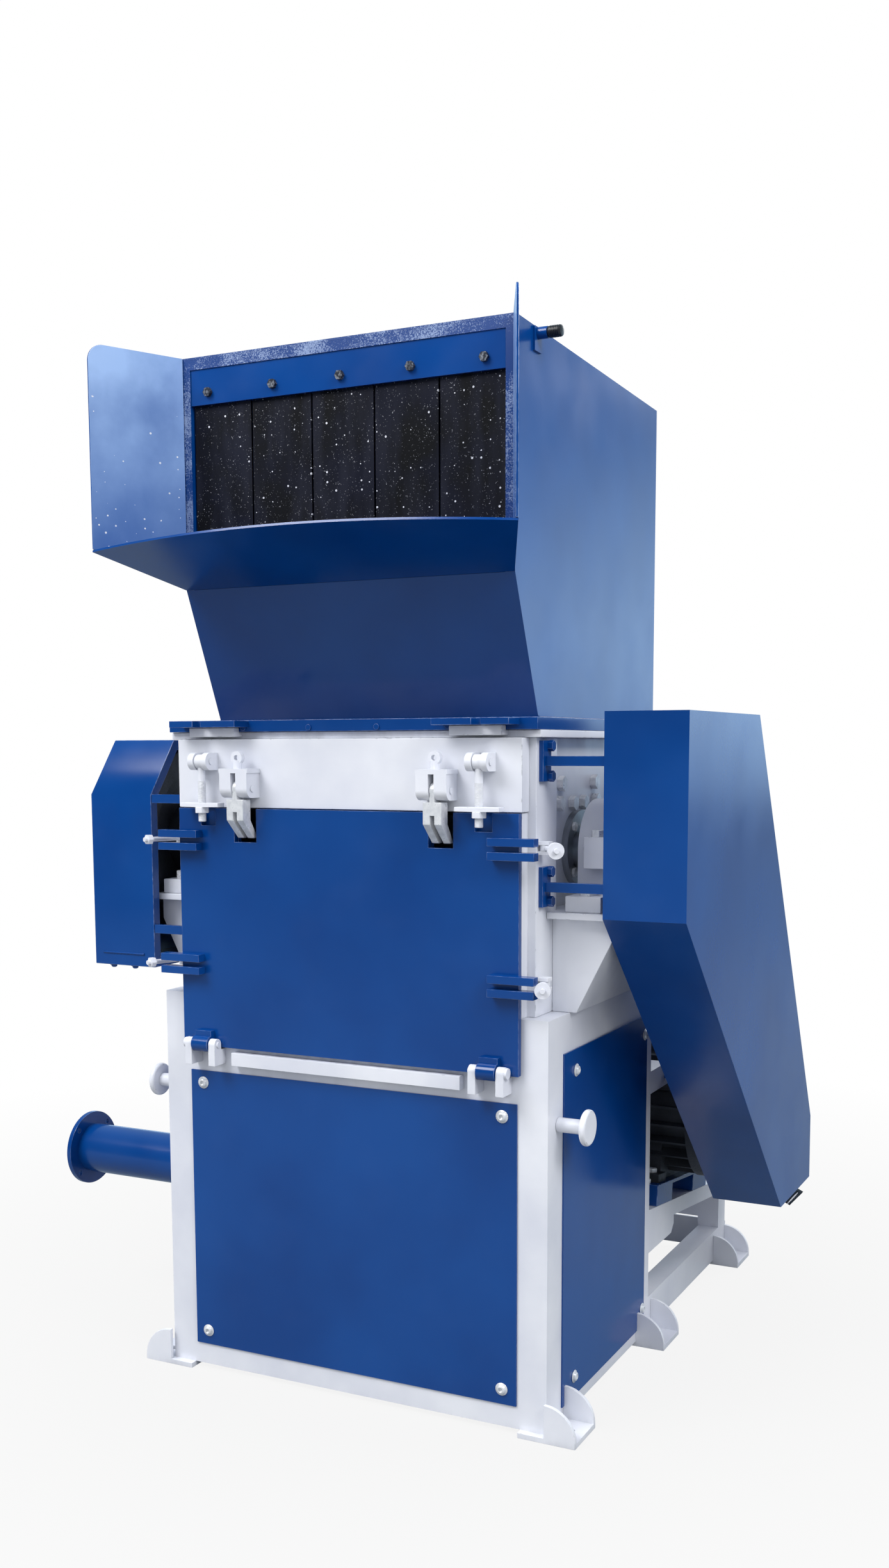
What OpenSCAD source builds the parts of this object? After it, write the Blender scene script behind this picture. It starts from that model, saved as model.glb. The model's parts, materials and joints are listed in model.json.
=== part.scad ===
// Plastic granulator: a rotor with three knives cuts scrap that is fed through the hopper's curtain,
// a screen sizes the granules, and a suction pipe under the screen carries them off.
// +Z is up, +X is to the right of someone who faces the door, and the door looks along -Y.
// The origin is on the floor, at the middle of the four corner anchor holes.

/* [Base frame] */
// Width of the base over the corner posts
base_w = 800; // [780:5:900]
// Depth of the main bay that carries the cutting chamber
base_d = 549; // [545:2:580]
// Depth of the motor bay behind the main bay
bay_d = 575; // [560:5:640]
// Height of the base, where the chamber stands
base_h = 750; // [740:2:780]
// Thickness of the frame's plates
bar_t = 6; // [5:1:8]
// Visible width of the front posts
post_w = 57; // [50:1:70]
// Visible depth of the front posts
post_d = 68; // [60:1:80]
// How far the frame reaches behind the edges of its panels
lap = 42; // [36:1:50]
// Visible depth of the rear posts of the main bay
rear_post_d = 35; // [30:1:45]
// Height of the side rails
rail_h = 69; // [60:1:80]
// Visible height of the front sill
sill_h = 42; // [36:1:48]
// Bottom of the ledge under the door
ledge_z = 600; // [590:1:606]
// Height of the ledge under the door
ledge_h = 50; // [44:1:52]
// Width of the frame's inner flanges
flange_w = 95; // [90:1:100]
// Visible height of the side rails at the top of the base
top_rail_h = 69; // [60:1:75]

/* [Feet] */
// Thickness of the foot plates
foot_t = 10; // [8:1:14]
// Width of a foot plate along the machine
foot_w = 100; // [90:2:110]
// How far the feet stand out past the sides
foot_out = 60; // [54:1:70]
// How far the front feet stand out past the front
foot_lead = 14; // [10:1:20]
// Diameter of the anchor bolt holes
anchor_d = 18; // [14:1:22]
// Distance of the anchor holes from the side of the frame
anchor_out = 30; // [28:1:34]

/* [Panels and pegs] */
// Thickness of the sheet panels
panel_t = 3; // [2:0.5:4]
// Diameter of the panel screws' shanks
screw_d = 8; // [6:1:10]
// Distance of the front panel's screws from its edges
screw_inset = 28; // [24:1:32]
// Diameter of a lifting peg's stub
peg_d = 26; // [22:1:30]
// Length of a lifting peg's stub
peg_len = 49; // [40:1:60]
// Diameter of a lifting peg's head
peg_head_d = 64; // [50:1:70]
// Thickness of a lifting peg's head
peg_head_t = 12; // [8:1:14]
// Height of the lifting pegs
peg_z = 560; // [540:5:580]

/* [Suction] */
// Outer diameter of the outlet pipe
pipe_d = 106; // [96:1:110]
// Wall of the outlet pipe
pipe_wall = 3; // [2:0.5:5]
// How far the outlet pipe stands out past the base
pipe_out = 415; // [300:5:450]
// Height of the outlet pipe's axis
pipe_z = 329; // [325:1:340]
// Diameter of the outlet flange
pipe_flange_d = 160; // [156:1:180]
// Thickness of the outlet flange
pipe_flange_t = 10; // [8:1:14]
// Bolt circle of the outlet flange
pipe_bolt_pcd = 136; // [132:1:138]
// Diameter of the outlet flange's bolt holes
pipe_bolt_d = 11; // [9:1:13]
// Thickness of the suction box's sheet
box_t = 3; // [2:0.5:4]

/* [Cutting chamber] */
// Clear width between the side plates
chamber_w = 610; // [600:1:616]
// Thickness of the side plates
side_t = 40; // [36:1:42]
// Height of the chamber's side plates
chamber_h = 482; // [470:1:500]
// Distance of the side plates behind the door plane
front_set = 24; // [20:1:28]
// Rear face of the chamber behind the door plane
chamber_d = 520; // [516:1:530]
// Half width over the front columns
column_hw = 366; // [362:1:368]
// Depth of the flat side of the front columns
column_d = 86; // [70:1:90]
// Half width of the raised frame that the door shuts on
seat_hw = 350; // [348:1:354]
// Width of the raised frame
seat_w = 30; // [24:1:36]
// Thickness of the top plate
top_t = 13; // [10:1:16]
// Height of the front crossmember
cross_h = 127; // [120:1:130]
// Thickness of a bed knife
bed_t = 20; // [16:1:24]
// Inner radius of the screen
screen_r = 183; // [182:0.5:186]
// Thickness of the screen
screen_t = 6; // [4:1:8]
// Diameter of the screen's holes, drawn coarser than a real 8 mm screen
screen_hole_d = 16; // [10:1:20]

/* [Rotor] */
// Distance of the rotor's axis behind the door plane
rotor_y = 260; // [256:1:264]
// Height of the rotor's axis above the base
rotor_up = 280; // [276:1:284]
// Cutting radius of the rotor
rotor_r = 175; // [170:1:176]
// Diameter of the rotor's shaft
shaft_d = 90; // [80:1:95]
// Radial running clearance of the bearings
bearing_gap = 0.05; // [0.02:0.01:0.1]
// Height of the bearings' axis above their brackets
bearing_h = 100; // [96:1:106]
// Radius of the bearing housings
bearing_r = 92; // [86:1:96]
// Width of the bearing housings
bearing_w = 88; // [80:1:90]
// Length of the bearing housings' feet
bearing_foot = 356; // [330:2:370]
// Thickness of the bearing brackets' plates
bracket_t = 12; // [10:1:14]

/* [Belt drive] */
// Pitch diameter of the rotor's pulley
rotor_pulley_d = 380; // [340:5:390]
// Pitch diameter of the motor's pulley
motor_pulley_d = 160; // [140:5:170]
// Number of V-belts
belt_n = 4; // [2:1:4]
// Distance between belts
belt_pitch = 19; // [18:1:20]
// Width of a belt
belt_w = 13; // [12:1:14]
// Height of a belt
belt_h = 10; // [8:1:11]
// Diameter of the flywheel
flywheel_d = 380; // [340:5:400]
// Width of the flywheel
flywheel_w = 80; // [60:2:90]

/* [Motor] */
// Slope of the motor's rails
rail_tilt = 7.5; // [5:0.5:8]
// Height of the rails' upper edge where they leave the main bay
rail_z = 265; // [262:1:270]
// Height of a rail's section
rail_t = 34; // [30:1:36]
// Width of the motor rails
rail_w = 50; // [44:1:56]
// Distance of the motor's axis along the rails
motor_s = 230; // [225:1:240]
// Height of the slide base
slide_h = 45; // [40:1:48]
// Height of the motor's axis above its feet
motor_h = 160; // [158:1:165]
// Radius of the motor's barrel
motor_r = 130; // [120:1:135]
// Length of the motor's barrel
motor_len = 400; // [380:5:420]
// Diameter of the motor's shaft
motor_shaft_d = 42; // [38:1:48]

/* [Door and clamps] */
// Thickness of the door
door_t = 12; // [10:1:14]
// Gap between the door and its seat
door_gap = 1.5; // [1:0.5:2]
// Distance of the hinge axis in front of the door plane
hinge_out = 26; // [25:0.5:28]
// Diameter of the door's hinge pins
hinge_pin_d = 12; // [10:1:13]
// Place of the hinges across the door
hinge_x = 298; // [285:1:300]
// Place of the hook clamps across the door
hook_x = 202; // [190:1:206]
// Place of the hold-down bolts across the door
hold_x = 284; // [280:1:288]
// Diameter of the hold-down bolts
hold_d = 14; // [12:1:14]
// Distance of the hold-down bolts' pivots in front of the door plane
hold_out = 32; // [31:1:36]
// Place of the side swing bolts' pivots
swing_x = 378; // [377:0.5:379]
// Diameter of the side swing bolts
swing_d = 9; // [8:0.5:9]
// Reach of the forks from the middle of the door
fork_reach = 386; // [385:0.5:387]
// Gap between the prongs of a fork
fork_gap = 10; // [10:0.5:11]
// Thickness of a prong
prong_t = 14; // [12:1:15]
// Height of the upper forks
fork_z_hi = 1044; // [1035:1:1050]
// Height of the lower forks
fork_z_lo = 809; // [805:1:820]

/* [Hopper] */
// Half width of the hopper
hopper_hw = 334; // [330:1:336]
// Depth of the hopper's top
hopper_d = 723; // [700:5:740]
// Height of the hopper's front top edge
hopper_top = 1923; // [1880:5:1960]
// How much lower the rear top edge is
hopper_drop = 19; // [0:1:30]
// Height of the bend where the tray meets the lower front
bend_z = 1507; // [1495:1:1520]
// Distance of the throat's front edge behind the door plane
throat_y = 107; // [100:1:112]
// Thickness of the hopper's sheet
hopper_t = 4; // [3:0.5:5]
// Width of the bars round the feed mouth
mouth_bar = 18; // [14:1:22]
// Height of the hopper's flange
hopper_flange_h = 21; // [18:1:24]
// Half width of the hopper's flange
hopper_flange_hw = 378; // [374:1:380]
// Length of the wings
wing_len = 188; // [160:2:200]
// Flare of the wings
wing_flare = 25.2; // [20:0.2:28]
// Rise of the tray towards its front edge
tray_rise = 56; // [40:1:70]
// Bow of the tray's front edge
tray_bow = 45; // [30:1:55]
// Thickness of the rubber curtain
rubber_t = 6; // [4:0.5:8]
// Gap between the curtain's strips
slit = 2; // [1:0.5:3]
// Length of the curtain's strips
strip_len = 290; // [200:5:300]
// Distance of the hopper's hinge behind the door plane
tilt_y = 577; // [576:1:580]
// Diameter of the hopper's hinge pins
tilt_pin_d = 14; // [12:1:16]

/* [Guards] */
// Thickness of the guards' sheet
guard_t = 3; // [2:0.5:4]
// Inner face of the belt guard
guard_x = 481; // [479:1:485]
// Width of the belt guard
guard_w = 147; // [145:1:155]
// Front face of both guards behind the door plane
guard_y = 41; // [40:1:44]
// Height of the belt guard's top
guard_top = 1275; // [1262:1:1290]
// Inner edge of the flywheel guard
fly_guard_x = 457; // [456:1:462]

/* [Hidden] */
$fn = 64;

// Finishes, for the quick look only
blue = [0.12, 0.31, 0.6];
white = [0.9, 0.91, 0.94];
zinc = [0.72, 0.73, 0.75];
steel = [0.55, 0.56, 0.58];
iron = [0.25, 0.26, 0.28];
black = [0.1, 0.1, 0.11];

// Shared clearances
cut = 1;
hex_sides = 6;
loose = 0.3;
pin_gap = 0.05;
bolt_gap = 0.2;

// Places that follow from the driving sizes
hw = base_w / 2;
total_d = base_d + bay_d;
lift = foot_t;
foot_y_front = foot_w / 2 - foot_lead;
foot_y_mid = base_d - foot_w / 4;
foot_y_rear = total_d - foot_w / 2;
front_y = -(foot_y_front + foot_y_rear) / 2;
panel_hw = hw - post_w;
ledge_top = ledge_z + ledge_h;
side_panel_lo = lift + rail_h / 3;
side_panel_hi = base_h - top_rail_h;
side_panel_far = base_d - rear_post_d;
rotor_z = base_h + rotor_up;
top_z = base_h + chamber_h;
cross_z = top_z - cross_h;
plate_z = top_z + top_t;
in_hw = chamber_w / 2;
out_hw = in_hw + side_t;
column_y = front_set + column_d;
screen_out = screen_r + screen_t;

module at_front() translate([0, front_y, 0]) children();
module both_sides() { children(); mirror([1, 0, 0]) children(); }
module span(lo, hi) translate(lo) cube(hi - lo);
// Profile drawn in Y and Z, carried along X
module along_x(x0, len) translate([x0, 0, 0]) rotate([90, 0, 90]) linear_extrude(len) children();
// Profile drawn in X and Z, carried along Y
module along_y(y0, len) translate([0, y0 + len, 0]) rotate([90, 0, 0]) linear_extrude(len) children();
module rod_x(x0, len, d) translate([x0, 0, 0]) rotate([0, 90, 0]) cylinder(h = len, d = d);
module rod_y(y0, len, d) translate([0, y0, 0]) rotate([-90, 0, 0]) cylinder(h = len, d = d);
module hex_x(x0, len, af) translate([x0, 0, 0]) rotate([0, 90, 0])
    cylinder(h = len, d = af / cos(180 / hex_sides), $fn = hex_sides);
module hex_z(z0, len, af) translate([0, 0, z0])
    cylinder(h = len, d = af / cos(180 / hex_sides), $fn = hex_sides);
// Unit vector to the left of the way from a to b
function left_of(a, b) = let (d = b - a) [-d[1], d[0]] / norm(d);
// Strip of thickness t along the edge from a to b
module strip(a, b, t) polygon([a, b, b + left_of(a, b) * t, a + left_of(a, b) * t]);
// Rim of thickness t inside a convex outline whose points run anticlockwise
module rim(points, t) for (i = [0 : len(points) - 1])
    strip(points[i], points[(i + 1) % len(points)], t);

// Base: angle posts, channel rails and flat bars welded together

screw_len = panel_t + bar_t;
side_screw_y = [post_d + 2 * screw_inset, side_panel_far - screw_inset / 2];
side_screw_z = [side_panel_lo + screw_inset + lap / 4, side_panel_hi - screw_inset - lap / 4];
front_screw_z = [lift + sill_h + screw_inset, ledge_z - screw_inset + lap / 10];

module at_front_screws() for (sx = [-1, 1], z = front_screw_z)
    translate([sx * (panel_hw - screw_inset), 0, z]) children();
module at_side_screws() both_sides() for (y = side_screw_y, z = side_screw_z)
    translate([hw, y, z]) children();

bar_len = 55;
ledger_h = 74;
rear_bar_y = total_d - bar_len - bar_t;
stay_len = 110;
stay_h = 47;
stay_z = 510;

// Height of the underside of a motor rail at a distance behind the door plane
function rail_under(y) = rail_z - (y - base_d) * tan(rail_tilt) - rail_t / cos(rail_tilt);
bar_top = rail_under(rear_bar_y + bar_len);

// Post on the rear bar, cut to the slope of the rail that it carries
module rail_post(x0, x1, z0) along_x(x0, x1 - x0) polygon([[rear_bar_y, z0], [rear_bar_y + bar_len, z0],
    [rear_bar_y + bar_len, bar_top], [rear_bar_y, rail_under(rear_bar_y)]]);

module frame_steel() {
    both_sides() {
        span([hw - post_w - lap, 0, lift], [hw, bar_t, base_h]);
        span([hw - bar_t, 0, lift], [hw, post_d + lap, base_h]);
        span([hw - post_w - lap, base_d - bar_t, lift], [hw, base_d, base_h]);
        span([hw - bar_t, base_d - rear_post_d - lap, lift], [hw, base_d, base_h]);
        span([hw - bar_t, 0, lift], [hw, total_d, lift + rail_h]);
        span([hw - flange_w, 0, lift], [hw, total_d, lift + bar_t]);
        span([hw - flange_w / 2, 0, lift + rail_h - bar_t], [hw, total_d, lift + rail_h]);
        span([hw - bar_t, 0, side_panel_hi - lap], [hw, base_d, base_h]);
        span([hw - flange_w, 0, base_h - bar_t], [hw, base_d, base_h]);
        rail_post(hw - rail_w, hw, lift + rail_h - bar_t);
    }
    rail_post(foot_x0 - rail_w / 2, foot_x0 + rail_w / 2, bar_top - bar_len);
    span([hw - bar_len, base_d - bar_t, stay_z], [hw, base_d + stay_len, stay_z + stay_h]);
    span([-panel_hw, 0, lift], [panel_hw, bar_t, lift + sill_h + lap]);
    span([-panel_hw, 0, lift], [panel_hw, flange_w / 2, lift + bar_t]);
    span([-panel_hw, 0, ledge_z - lap], [panel_hw, bar_t, ledge_top]);
    span([-hw + bar_t, 0, ledge_top - bar_t], [hw - bar_t, flange_w / 2, ledge_top]);
    span([-hw + bar_t, base_d - bar_t, base_h - top_rail_h], [hw - bar_t, base_d, base_h]);
    span([-hw + flange_w, base_d - flange_w, base_h - bar_t], [hw - flange_w, base_d, base_h]);
    span([-hw + bar_t, base_d - bar_t, rail_z - ledger_h], [hw - bar_t, base_d, rail_z + bar_t]);
    span([-hw + bar_t, base_d - bar_t, lift], [hw - bar_t, base_d, lift + rail_h]);
    span([-hw, total_d - bar_t, lift], [hw, total_d, lift + rail_h]);
    span([-hw + bar_t, rear_bar_y, bar_top - bar_len], [hw - bar_t, rear_bar_y + bar_len, bar_top]);
}

module base_frame() color(white) at_front() difference() {
    frame_steel();
    at_front_screws() rod_y(-cut, bar_t + 2 * cut, screw_d + 2 * bolt_gap);
    at_side_screws() rod_x(-bar_t - cut, bar_t + 2 * cut, screw_d + 2 * bolt_gap);
}

// Feet: plates with a quarter-round gusset at each end, welded under and beside the rails

gusset_t = 8;
foot_in = 50;

module foot() {
    difference() {
        span([hw - foot_in, -foot_w / 2, 0], [hw + foot_out, foot_w / 2, foot_t]);
        translate([hw + anchor_out, 0, -cut]) cylinder(h = foot_t + 2 * cut, d = anchor_d);
    }
    for (y = [-foot_w / 2, foot_w / 2 - gusset_t]) along_y(y, gusset_t) intersection() {
        translate([hw, foot_t]) circle(r = foot_out);
        translate([hw, foot_t]) square(foot_out);
    }
}

module foot_pads() color(white) at_front() both_sides()
    for (y = [foot_y_front, foot_y_mid, foot_y_rear]) translate([0, y, 0]) foot();

// Panels and their screws

module front_panel() color(blue) at_front() difference() {
    span([-panel_hw, -panel_t, lift + sill_h], [panel_hw, 0, ledge_z]);
    at_front_screws() rod_y(-panel_t - cut, panel_t + 2 * cut, screw_d + 2 * bolt_gap);
}

pipe_hole_gap = 2;
rear_panel_y = base_d - bar_t - panel_t;
// The side panels are slotted where a gusset of a foot stands against the base
gusset_slot_y = [foot_y_front + foot_w / 2 - gusset_t, foot_y_mid - foot_w / 2];

module bay_panels() color(blue) at_front() {
    difference() {
        both_sides() span([hw, post_d, side_panel_lo], [hw + panel_t, side_panel_far, side_panel_hi]);
        at_side_screws() rod_x(-cut, panel_t + 2 * cut, screw_d + 2 * bolt_gap);
        translate([0, rotor_y, pipe_z]) rod_x(-hw - panel_t - cut, panel_t + 2 * cut,
            pipe_d + 2 * pipe_hole_gap);
        both_sides() for (y = gusset_slot_y) span([hw - cut, y - loose, 0],
            [hw + panel_t + cut, y + gusset_t + loose, foot_t + foot_out + loose]);
    }
    span([-hw + post_w, rear_panel_y, lift + rail_h - lap / 2], [hw - post_w, rear_panel_y + panel_t,
        base_h - top_rail_h + lap / 2]);
}

washer_d = 20;
washer_t = 2;
head_h = 6;
head_af = 13;

// Screw along +X: washer and head outside, shank inside
module screw_x() {
    rod_x(-screw_len, screw_len + washer_t, screw_d);
    rod_x(0, washer_t, washer_d);
    hex_x(0, washer_t + head_h, head_af);
}

module panel_screws() color(zinc) at_front() {
    at_front_screws() translate([0, -panel_t, 0]) rotate([0, 0, -90]) screw_x();
    at_side_screws() translate([panel_t, 0, 0]) screw_x();
}

peg_edge = 3;
peg_y = 47;

module lifting_pegs() color(white) at_front() both_sides()
    translate([hw, peg_y, peg_z]) rotate([0, 90, 0]) rotate_extrude() polygon([
        [0, 0], [peg_d / 2, 0], [peg_d / 2, peg_len], [peg_head_d / 2 - peg_edge, peg_len],
        [peg_head_d / 2, peg_len + peg_edge], [peg_head_d / 2, peg_len + peg_head_t - peg_edge],
        [peg_head_d / 2 - peg_edge, peg_len + peg_head_t], [0, peg_len + peg_head_t]]);

// Suction box: a sheet trough with sloped front and back, hung under the frame's top flanges

box_hw = in_hw;
box_lip = 40;
box_top = base_h - bar_t;
box_y0 = 26;
box_y1 = 494;
box_under = 4;
box_floor = pipe_z - pipe_d / 2 - box_under;
box_floor_hw = 60;
box_slope_share = 1.12;

module suction_box() color(steel) at_front() {
    slant_t = box_t * box_slope_share;
    bottom = [rotor_y - box_floor_hw, rotor_y + box_floor_hw];
    difference() {
        along_x(-box_hw, 2 * box_hw) polygon([[box_y0, box_top], [bottom[0], box_floor],
            [bottom[1], box_floor], [box_y1, box_top]]);
        along_x(-box_hw + box_t, 2 * (box_hw - box_t)) polygon([[box_y0 + slant_t, box_top + cut],
            [box_y0 + slant_t, box_top], [bottom[0] + slant_t, box_floor + box_t],
            [bottom[1] - slant_t, box_floor + box_t], [box_y1 - slant_t, box_top],
            [box_y1 - slant_t, box_top + cut]]);
        translate([0, rotor_y, pipe_z]) rod_x(-box_hw - cut, box_t + 2 * cut, pipe_d - 2 * pipe_wall);
    }
    both_sides() span([box_hw, box_y0, box_top - box_t], [box_hw + box_lip, box_y1, box_top]);
}

pipe_bolts = 4;

module outlet_pipe() color(blue) at_front() translate([0, rotor_y, pipe_z]) difference() {
    union() {
        rod_x(-hw - pipe_out, hw + pipe_out - box_hw, pipe_d);
        rod_x(-hw - pipe_out, pipe_flange_t, pipe_flange_d);
    }
    rod_x(-hw - pipe_out - cut, hw + pipe_out + 2 * cut, pipe_d - 2 * pipe_wall);
    for (i = [0 : pipe_bolts - 1]) rotate([360 / pipe_bolts * (i + 0.5), 0, 0])
        translate([0, pipe_bolt_pcd / 2, 0])
            rod_x(-hw - pipe_out - cut, pipe_flange_t + 2 * cut, pipe_bolt_d);
}

// Motor bay: rails slope down to the rear bar, and everything on them is drawn along the slope

module on_rails() translate([0, base_d, rail_z]) rotate([-rail_tilt, 0, 0]) children();

rail_len = (rear_bar_y + bar_len - base_d) / cos(rail_tilt);
motor_foot_pitch = 254;
motor_foot_half = 127;
motor_face_gap = 6;
motor_x1 = guard_x - motor_face_gap;
foot_x1 = hw - rail_w * 2 / 3;
foot_x0 = foot_x1 - motor_foot_pitch;
rail_x = [hw - rail_w / 2, foot_x0];
rib_y = 168;
rib_t = 8;
rib_drop = 92;
rib_corner = 17;

module motor_rails() color(white) at_front() {
    difference() {
        on_rails() {
            for (x = rail_x) translate([x - rail_w / 2, 0, -rail_t]) cube([rail_w, rail_len, rail_t]);
            translate([-hw, 0, -rail_t]) cube([rail_w, rail_len, rail_t]);
        }
        // The front ends are cut upright, where they meet the main bay
        span([-base_w, 0, 0], [base_w, base_d, base_h]);
    }
    both_sides() along_x(hw - rib_t, rib_t) polygon([
        [base_d, rail_z - rail_t], [base_d + rib_y, rail_z - rail_t - rib_y * tan(rail_tilt)],
        [base_d + rib_y, rail_z - rib_drop + rib_corner], [base_d + rib_y - rib_corner, rail_z - rib_drop],
        [base_d, rail_z - rib_drop]]);
}

slide_w = 208;
slide_over = 45;
slide_x0 = foot_x0 - slide_over;
slide_x1 = hw;
slide_wall = 8;

// Slide base: two channels across the rails, one under each row of motor feet, tied at their ends
module motor_slide_base() color(blue) at_front() on_rails() difference() {
    translate([slide_x0, motor_s - motor_foot_half - slide_w / 4, 0])
        cube([slide_x1 - slide_x0, 2 * motor_foot_half + slide_w / 2, slide_h]);
    translate([slide_x0 - cut, motor_s - motor_foot_half + slide_w / 4, -cut])
        cube([slide_x1 - slide_x0 + 2 * cut, 2 * motor_foot_half - slide_w / 2, slide_h - slide_wall + cut]);
    translate([slide_x0 + rail_w, motor_s - motor_foot_half + slide_w / 4, -cut])
        cube([slide_x1 - slide_x0 - 2 * rail_w, 2 * motor_foot_half - slide_w / 2, slide_h + 2 * cut]);
}

motor_z = slide_h + motor_h;
motor_x0 = motor_x1 - motor_len;
fin_n = 24;
fin_h = 22;
fin_t = 5;
foot_plate_t = 18;
bell_len = 34;
bell_over = 2;
bell_r = motor_r + fin_h + bell_over;
motor_bore_gap = 0.4;
term_w = 150;
term_d = 110;
term_h = 70;

module motor_frame() color(iron) at_front() on_rails() difference() {
    union() {
        translate([0, motor_s, motor_z]) {
            rod_x(motor_x0 + bell_len / 2, motor_len - bell_len, 2 * motor_r);
            rod_x(motor_x0, bell_len, 2 * bell_r);
            rod_x(motor_x1 - bell_len, bell_len, 2 * bell_r);
            for (i = [0 : fin_n - 1]) rotate([360 / fin_n * i, 0, 0])
                translate([motor_x0 + bell_len / 2, -fin_t / 2, motor_r / 2])
                    cube([motor_len - bell_len, fin_t, motor_r / 2 + fin_h]);
        }
        for (s = [-1, 1], x = [foot_x0, foot_x1]) translate([x - rail_w / 2,
            motor_s + s * motor_foot_half - rail_w / 2, slide_h]) cube([rail_w, rail_w, foot_plate_t]);
        for (x = [foot_x0, foot_x1])
            translate([x - rail_w / 4, motor_s - motor_foot_half + rail_w / 2, slide_h])
                cube([rail_w / 2, 2 * motor_foot_half - rail_w, motor_h - motor_r / 2]);
        translate([motor_x0 + (motor_len - term_w) / 2, motor_s - term_d / 2, motor_z + motor_r - fin_t])
            cube([term_w, term_d, fin_t + fin_h + term_h]);
    }
    translate([0, motor_s, motor_z])
        rod_x(motor_x0 - cut, motor_len + 2 * cut, motor_shaft_d + 2 * motor_bore_gap);
}

fan_len = 120;
fan_t = 3;
fan_hole_d = 18;
fan_ring_shares = [0.3, 0.5, 0.7];
fan_turn = 45;

module motor_fan_cover() color(iron) at_front() on_rails() translate([0, motor_s, motor_z]) difference() {
    rod_x(motor_x0 - fan_len, fan_len, 2 * bell_r);
    rod_x(motor_x0 - fan_len + fan_t, fan_len, 2 * (bell_r - fan_t));
    for (share = fan_ring_shares, a = [0 : fan_turn : 360 - fan_turn]) rotate([a, 0, 0])
        translate([0, share * bell_r, 0]) rod_x(motor_x0 - fan_len - cut, fan_t + 2 * cut, fan_hole_d);
}

pulley_x = guard_x + guard_w / 2;
pulley_edge = 4;
pulley_w = belt_n * belt_pitch + 2 * pulley_edge;
belt_foot_share = 0.4;
motor_shaft_end = pulley_x + pulley_w / 2;

module motor_shaft() color(steel) at_front() on_rails() translate([0, motor_s, motor_z])
    rod_x(motor_x0 - fan_len + 4 * fan_t, motor_shaft_end - motor_x0 + fan_len - 4 * fan_t, motor_shaft_d);

function belt_x(i) = pulley_x + (i - (belt_n - 1) / 2) * belt_pitch;
groove_gap = 0.4;

// Pulley about its own axis: a rim with one trapezoid groove a belt, a web and a hub
module pulley(pitch_d, bore) rotate([0, 90, 0]) rotate_extrude() difference() {
    translate([bore / 2, -pulley_w / 2]) square([pitch_d / 2 + belt_h / 2 - bore / 2, pulley_w]);
    for (i = [0 : belt_n - 1]) translate([pitch_d / 2, (i - (belt_n - 1) / 2) * belt_pitch]) polygon([
        [-belt_h / 2 - groove_gap, -belt_w * belt_foot_share - groove_gap],
        [belt_h / 2 + cut, -belt_w / 2 - groove_gap], [belt_h / 2 + cut, belt_w / 2 + groove_gap],
        [-belt_h / 2 - groove_gap, belt_w * belt_foot_share + groove_gap]]);
}

module motor_pulley() color(iron) at_front() on_rails() translate([pulley_x, motor_s, motor_z])
    pulley(motor_pulley_d, motor_shaft_d);

// Belts: two straight runs and two arcs round the pulleys, worked out in the belts' own plane
motor_y = base_d + motor_s * cos(rail_tilt) + motor_z * sin(rail_tilt);
motor_zc = rail_z - motor_s * sin(rail_tilt) + motor_z * cos(rail_tilt);
belt_run = norm([motor_y - rotor_y, motor_zc - rotor_z]);
belt_dir = atan2(motor_zc - rotor_z, motor_y - rotor_y);
belt_lean = asin((rotor_pulley_d - motor_pulley_d) / 2 / belt_run);
belt_straight = belt_run * cos(belt_lean);
belt_bite = 1.5;
belt_run_share = 0.97;

module belt_section(k) polygon([[-belt_h / 2, -belt_w * belt_foot_share], [belt_h / 2, -belt_w / 2],
    [belt_h / 2, belt_w / 2], [-belt_h / 2, belt_w * belt_foot_share]] * k);

// One belt in the plane of X and Y, with the big pulley at the origin and the small one along +X.
// The straight runs are a hair thinner than the arcs and reach into them, so that each joint is closed.
module belt_loop() {
    big_a = 90 - belt_lean;
    rotate([0, 0, big_a]) rotate_extrude(angle = 360 - 2 * big_a)
        translate([rotor_pulley_d / 2, 0]) belt_section(1);
    translate([belt_run, 0, 0]) rotate([0, 0, -big_a]) rotate_extrude(angle = 2 * big_a)
        translate([motor_pulley_d / 2, 0]) belt_section(1);
    for (m = [0, 1]) mirror([0, m, 0]) rotate([0, 0, big_a])
        translate([rotor_pulley_d / 2, belt_bite, 0]) rotate([90, 0, 0])
            linear_extrude(belt_straight + 2 * belt_bite) belt_section(belt_run_share);
}

module v_belts() color(black) at_front() for (i = [0 : belt_n - 1])
    translate([belt_x(i), rotor_y, rotor_z]) rotate([belt_dir, 0, 0]) rotate([90, 0, 90]) belt_loop();

bolt_head = 9;
bolt_af = 22;
slide_bolt_in = 14;

module motor_bolts() color(zinc) at_front() on_rails() {
    for (s = [-1, 1], x = [foot_x0, foot_x1])
        translate([x, motor_s + s * motor_foot_half, slide_h + foot_plate_t]) hex_z(0, bolt_head, bolt_af);
    for (s = [-1, 1], x = [foot_x0, foot_x1])
        translate([x, motor_s + s * (motor_foot_half + slide_w / 4 - slide_bolt_in), slide_h])
            hex_z(0, bolt_head, bolt_af);
}

// Cutting chamber: side plates with deep, round-backed front columns and a raised seat for the door

seal_d = 140;
seal_t = 12;
shaft_hole_d = 116;
stop_z = cross_z + 0.5;

// Front column and its round back
module column() {
    span([in_hw, front_set, base_h], [column_hw, column_y, top_z]);
    translate([out_hw, column_y, base_h]) intersection() {
        cylinder(h = chamber_h, r = column_hw - out_hw);
        cube([side_t, side_t, chamber_h]);
    }
}

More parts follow.
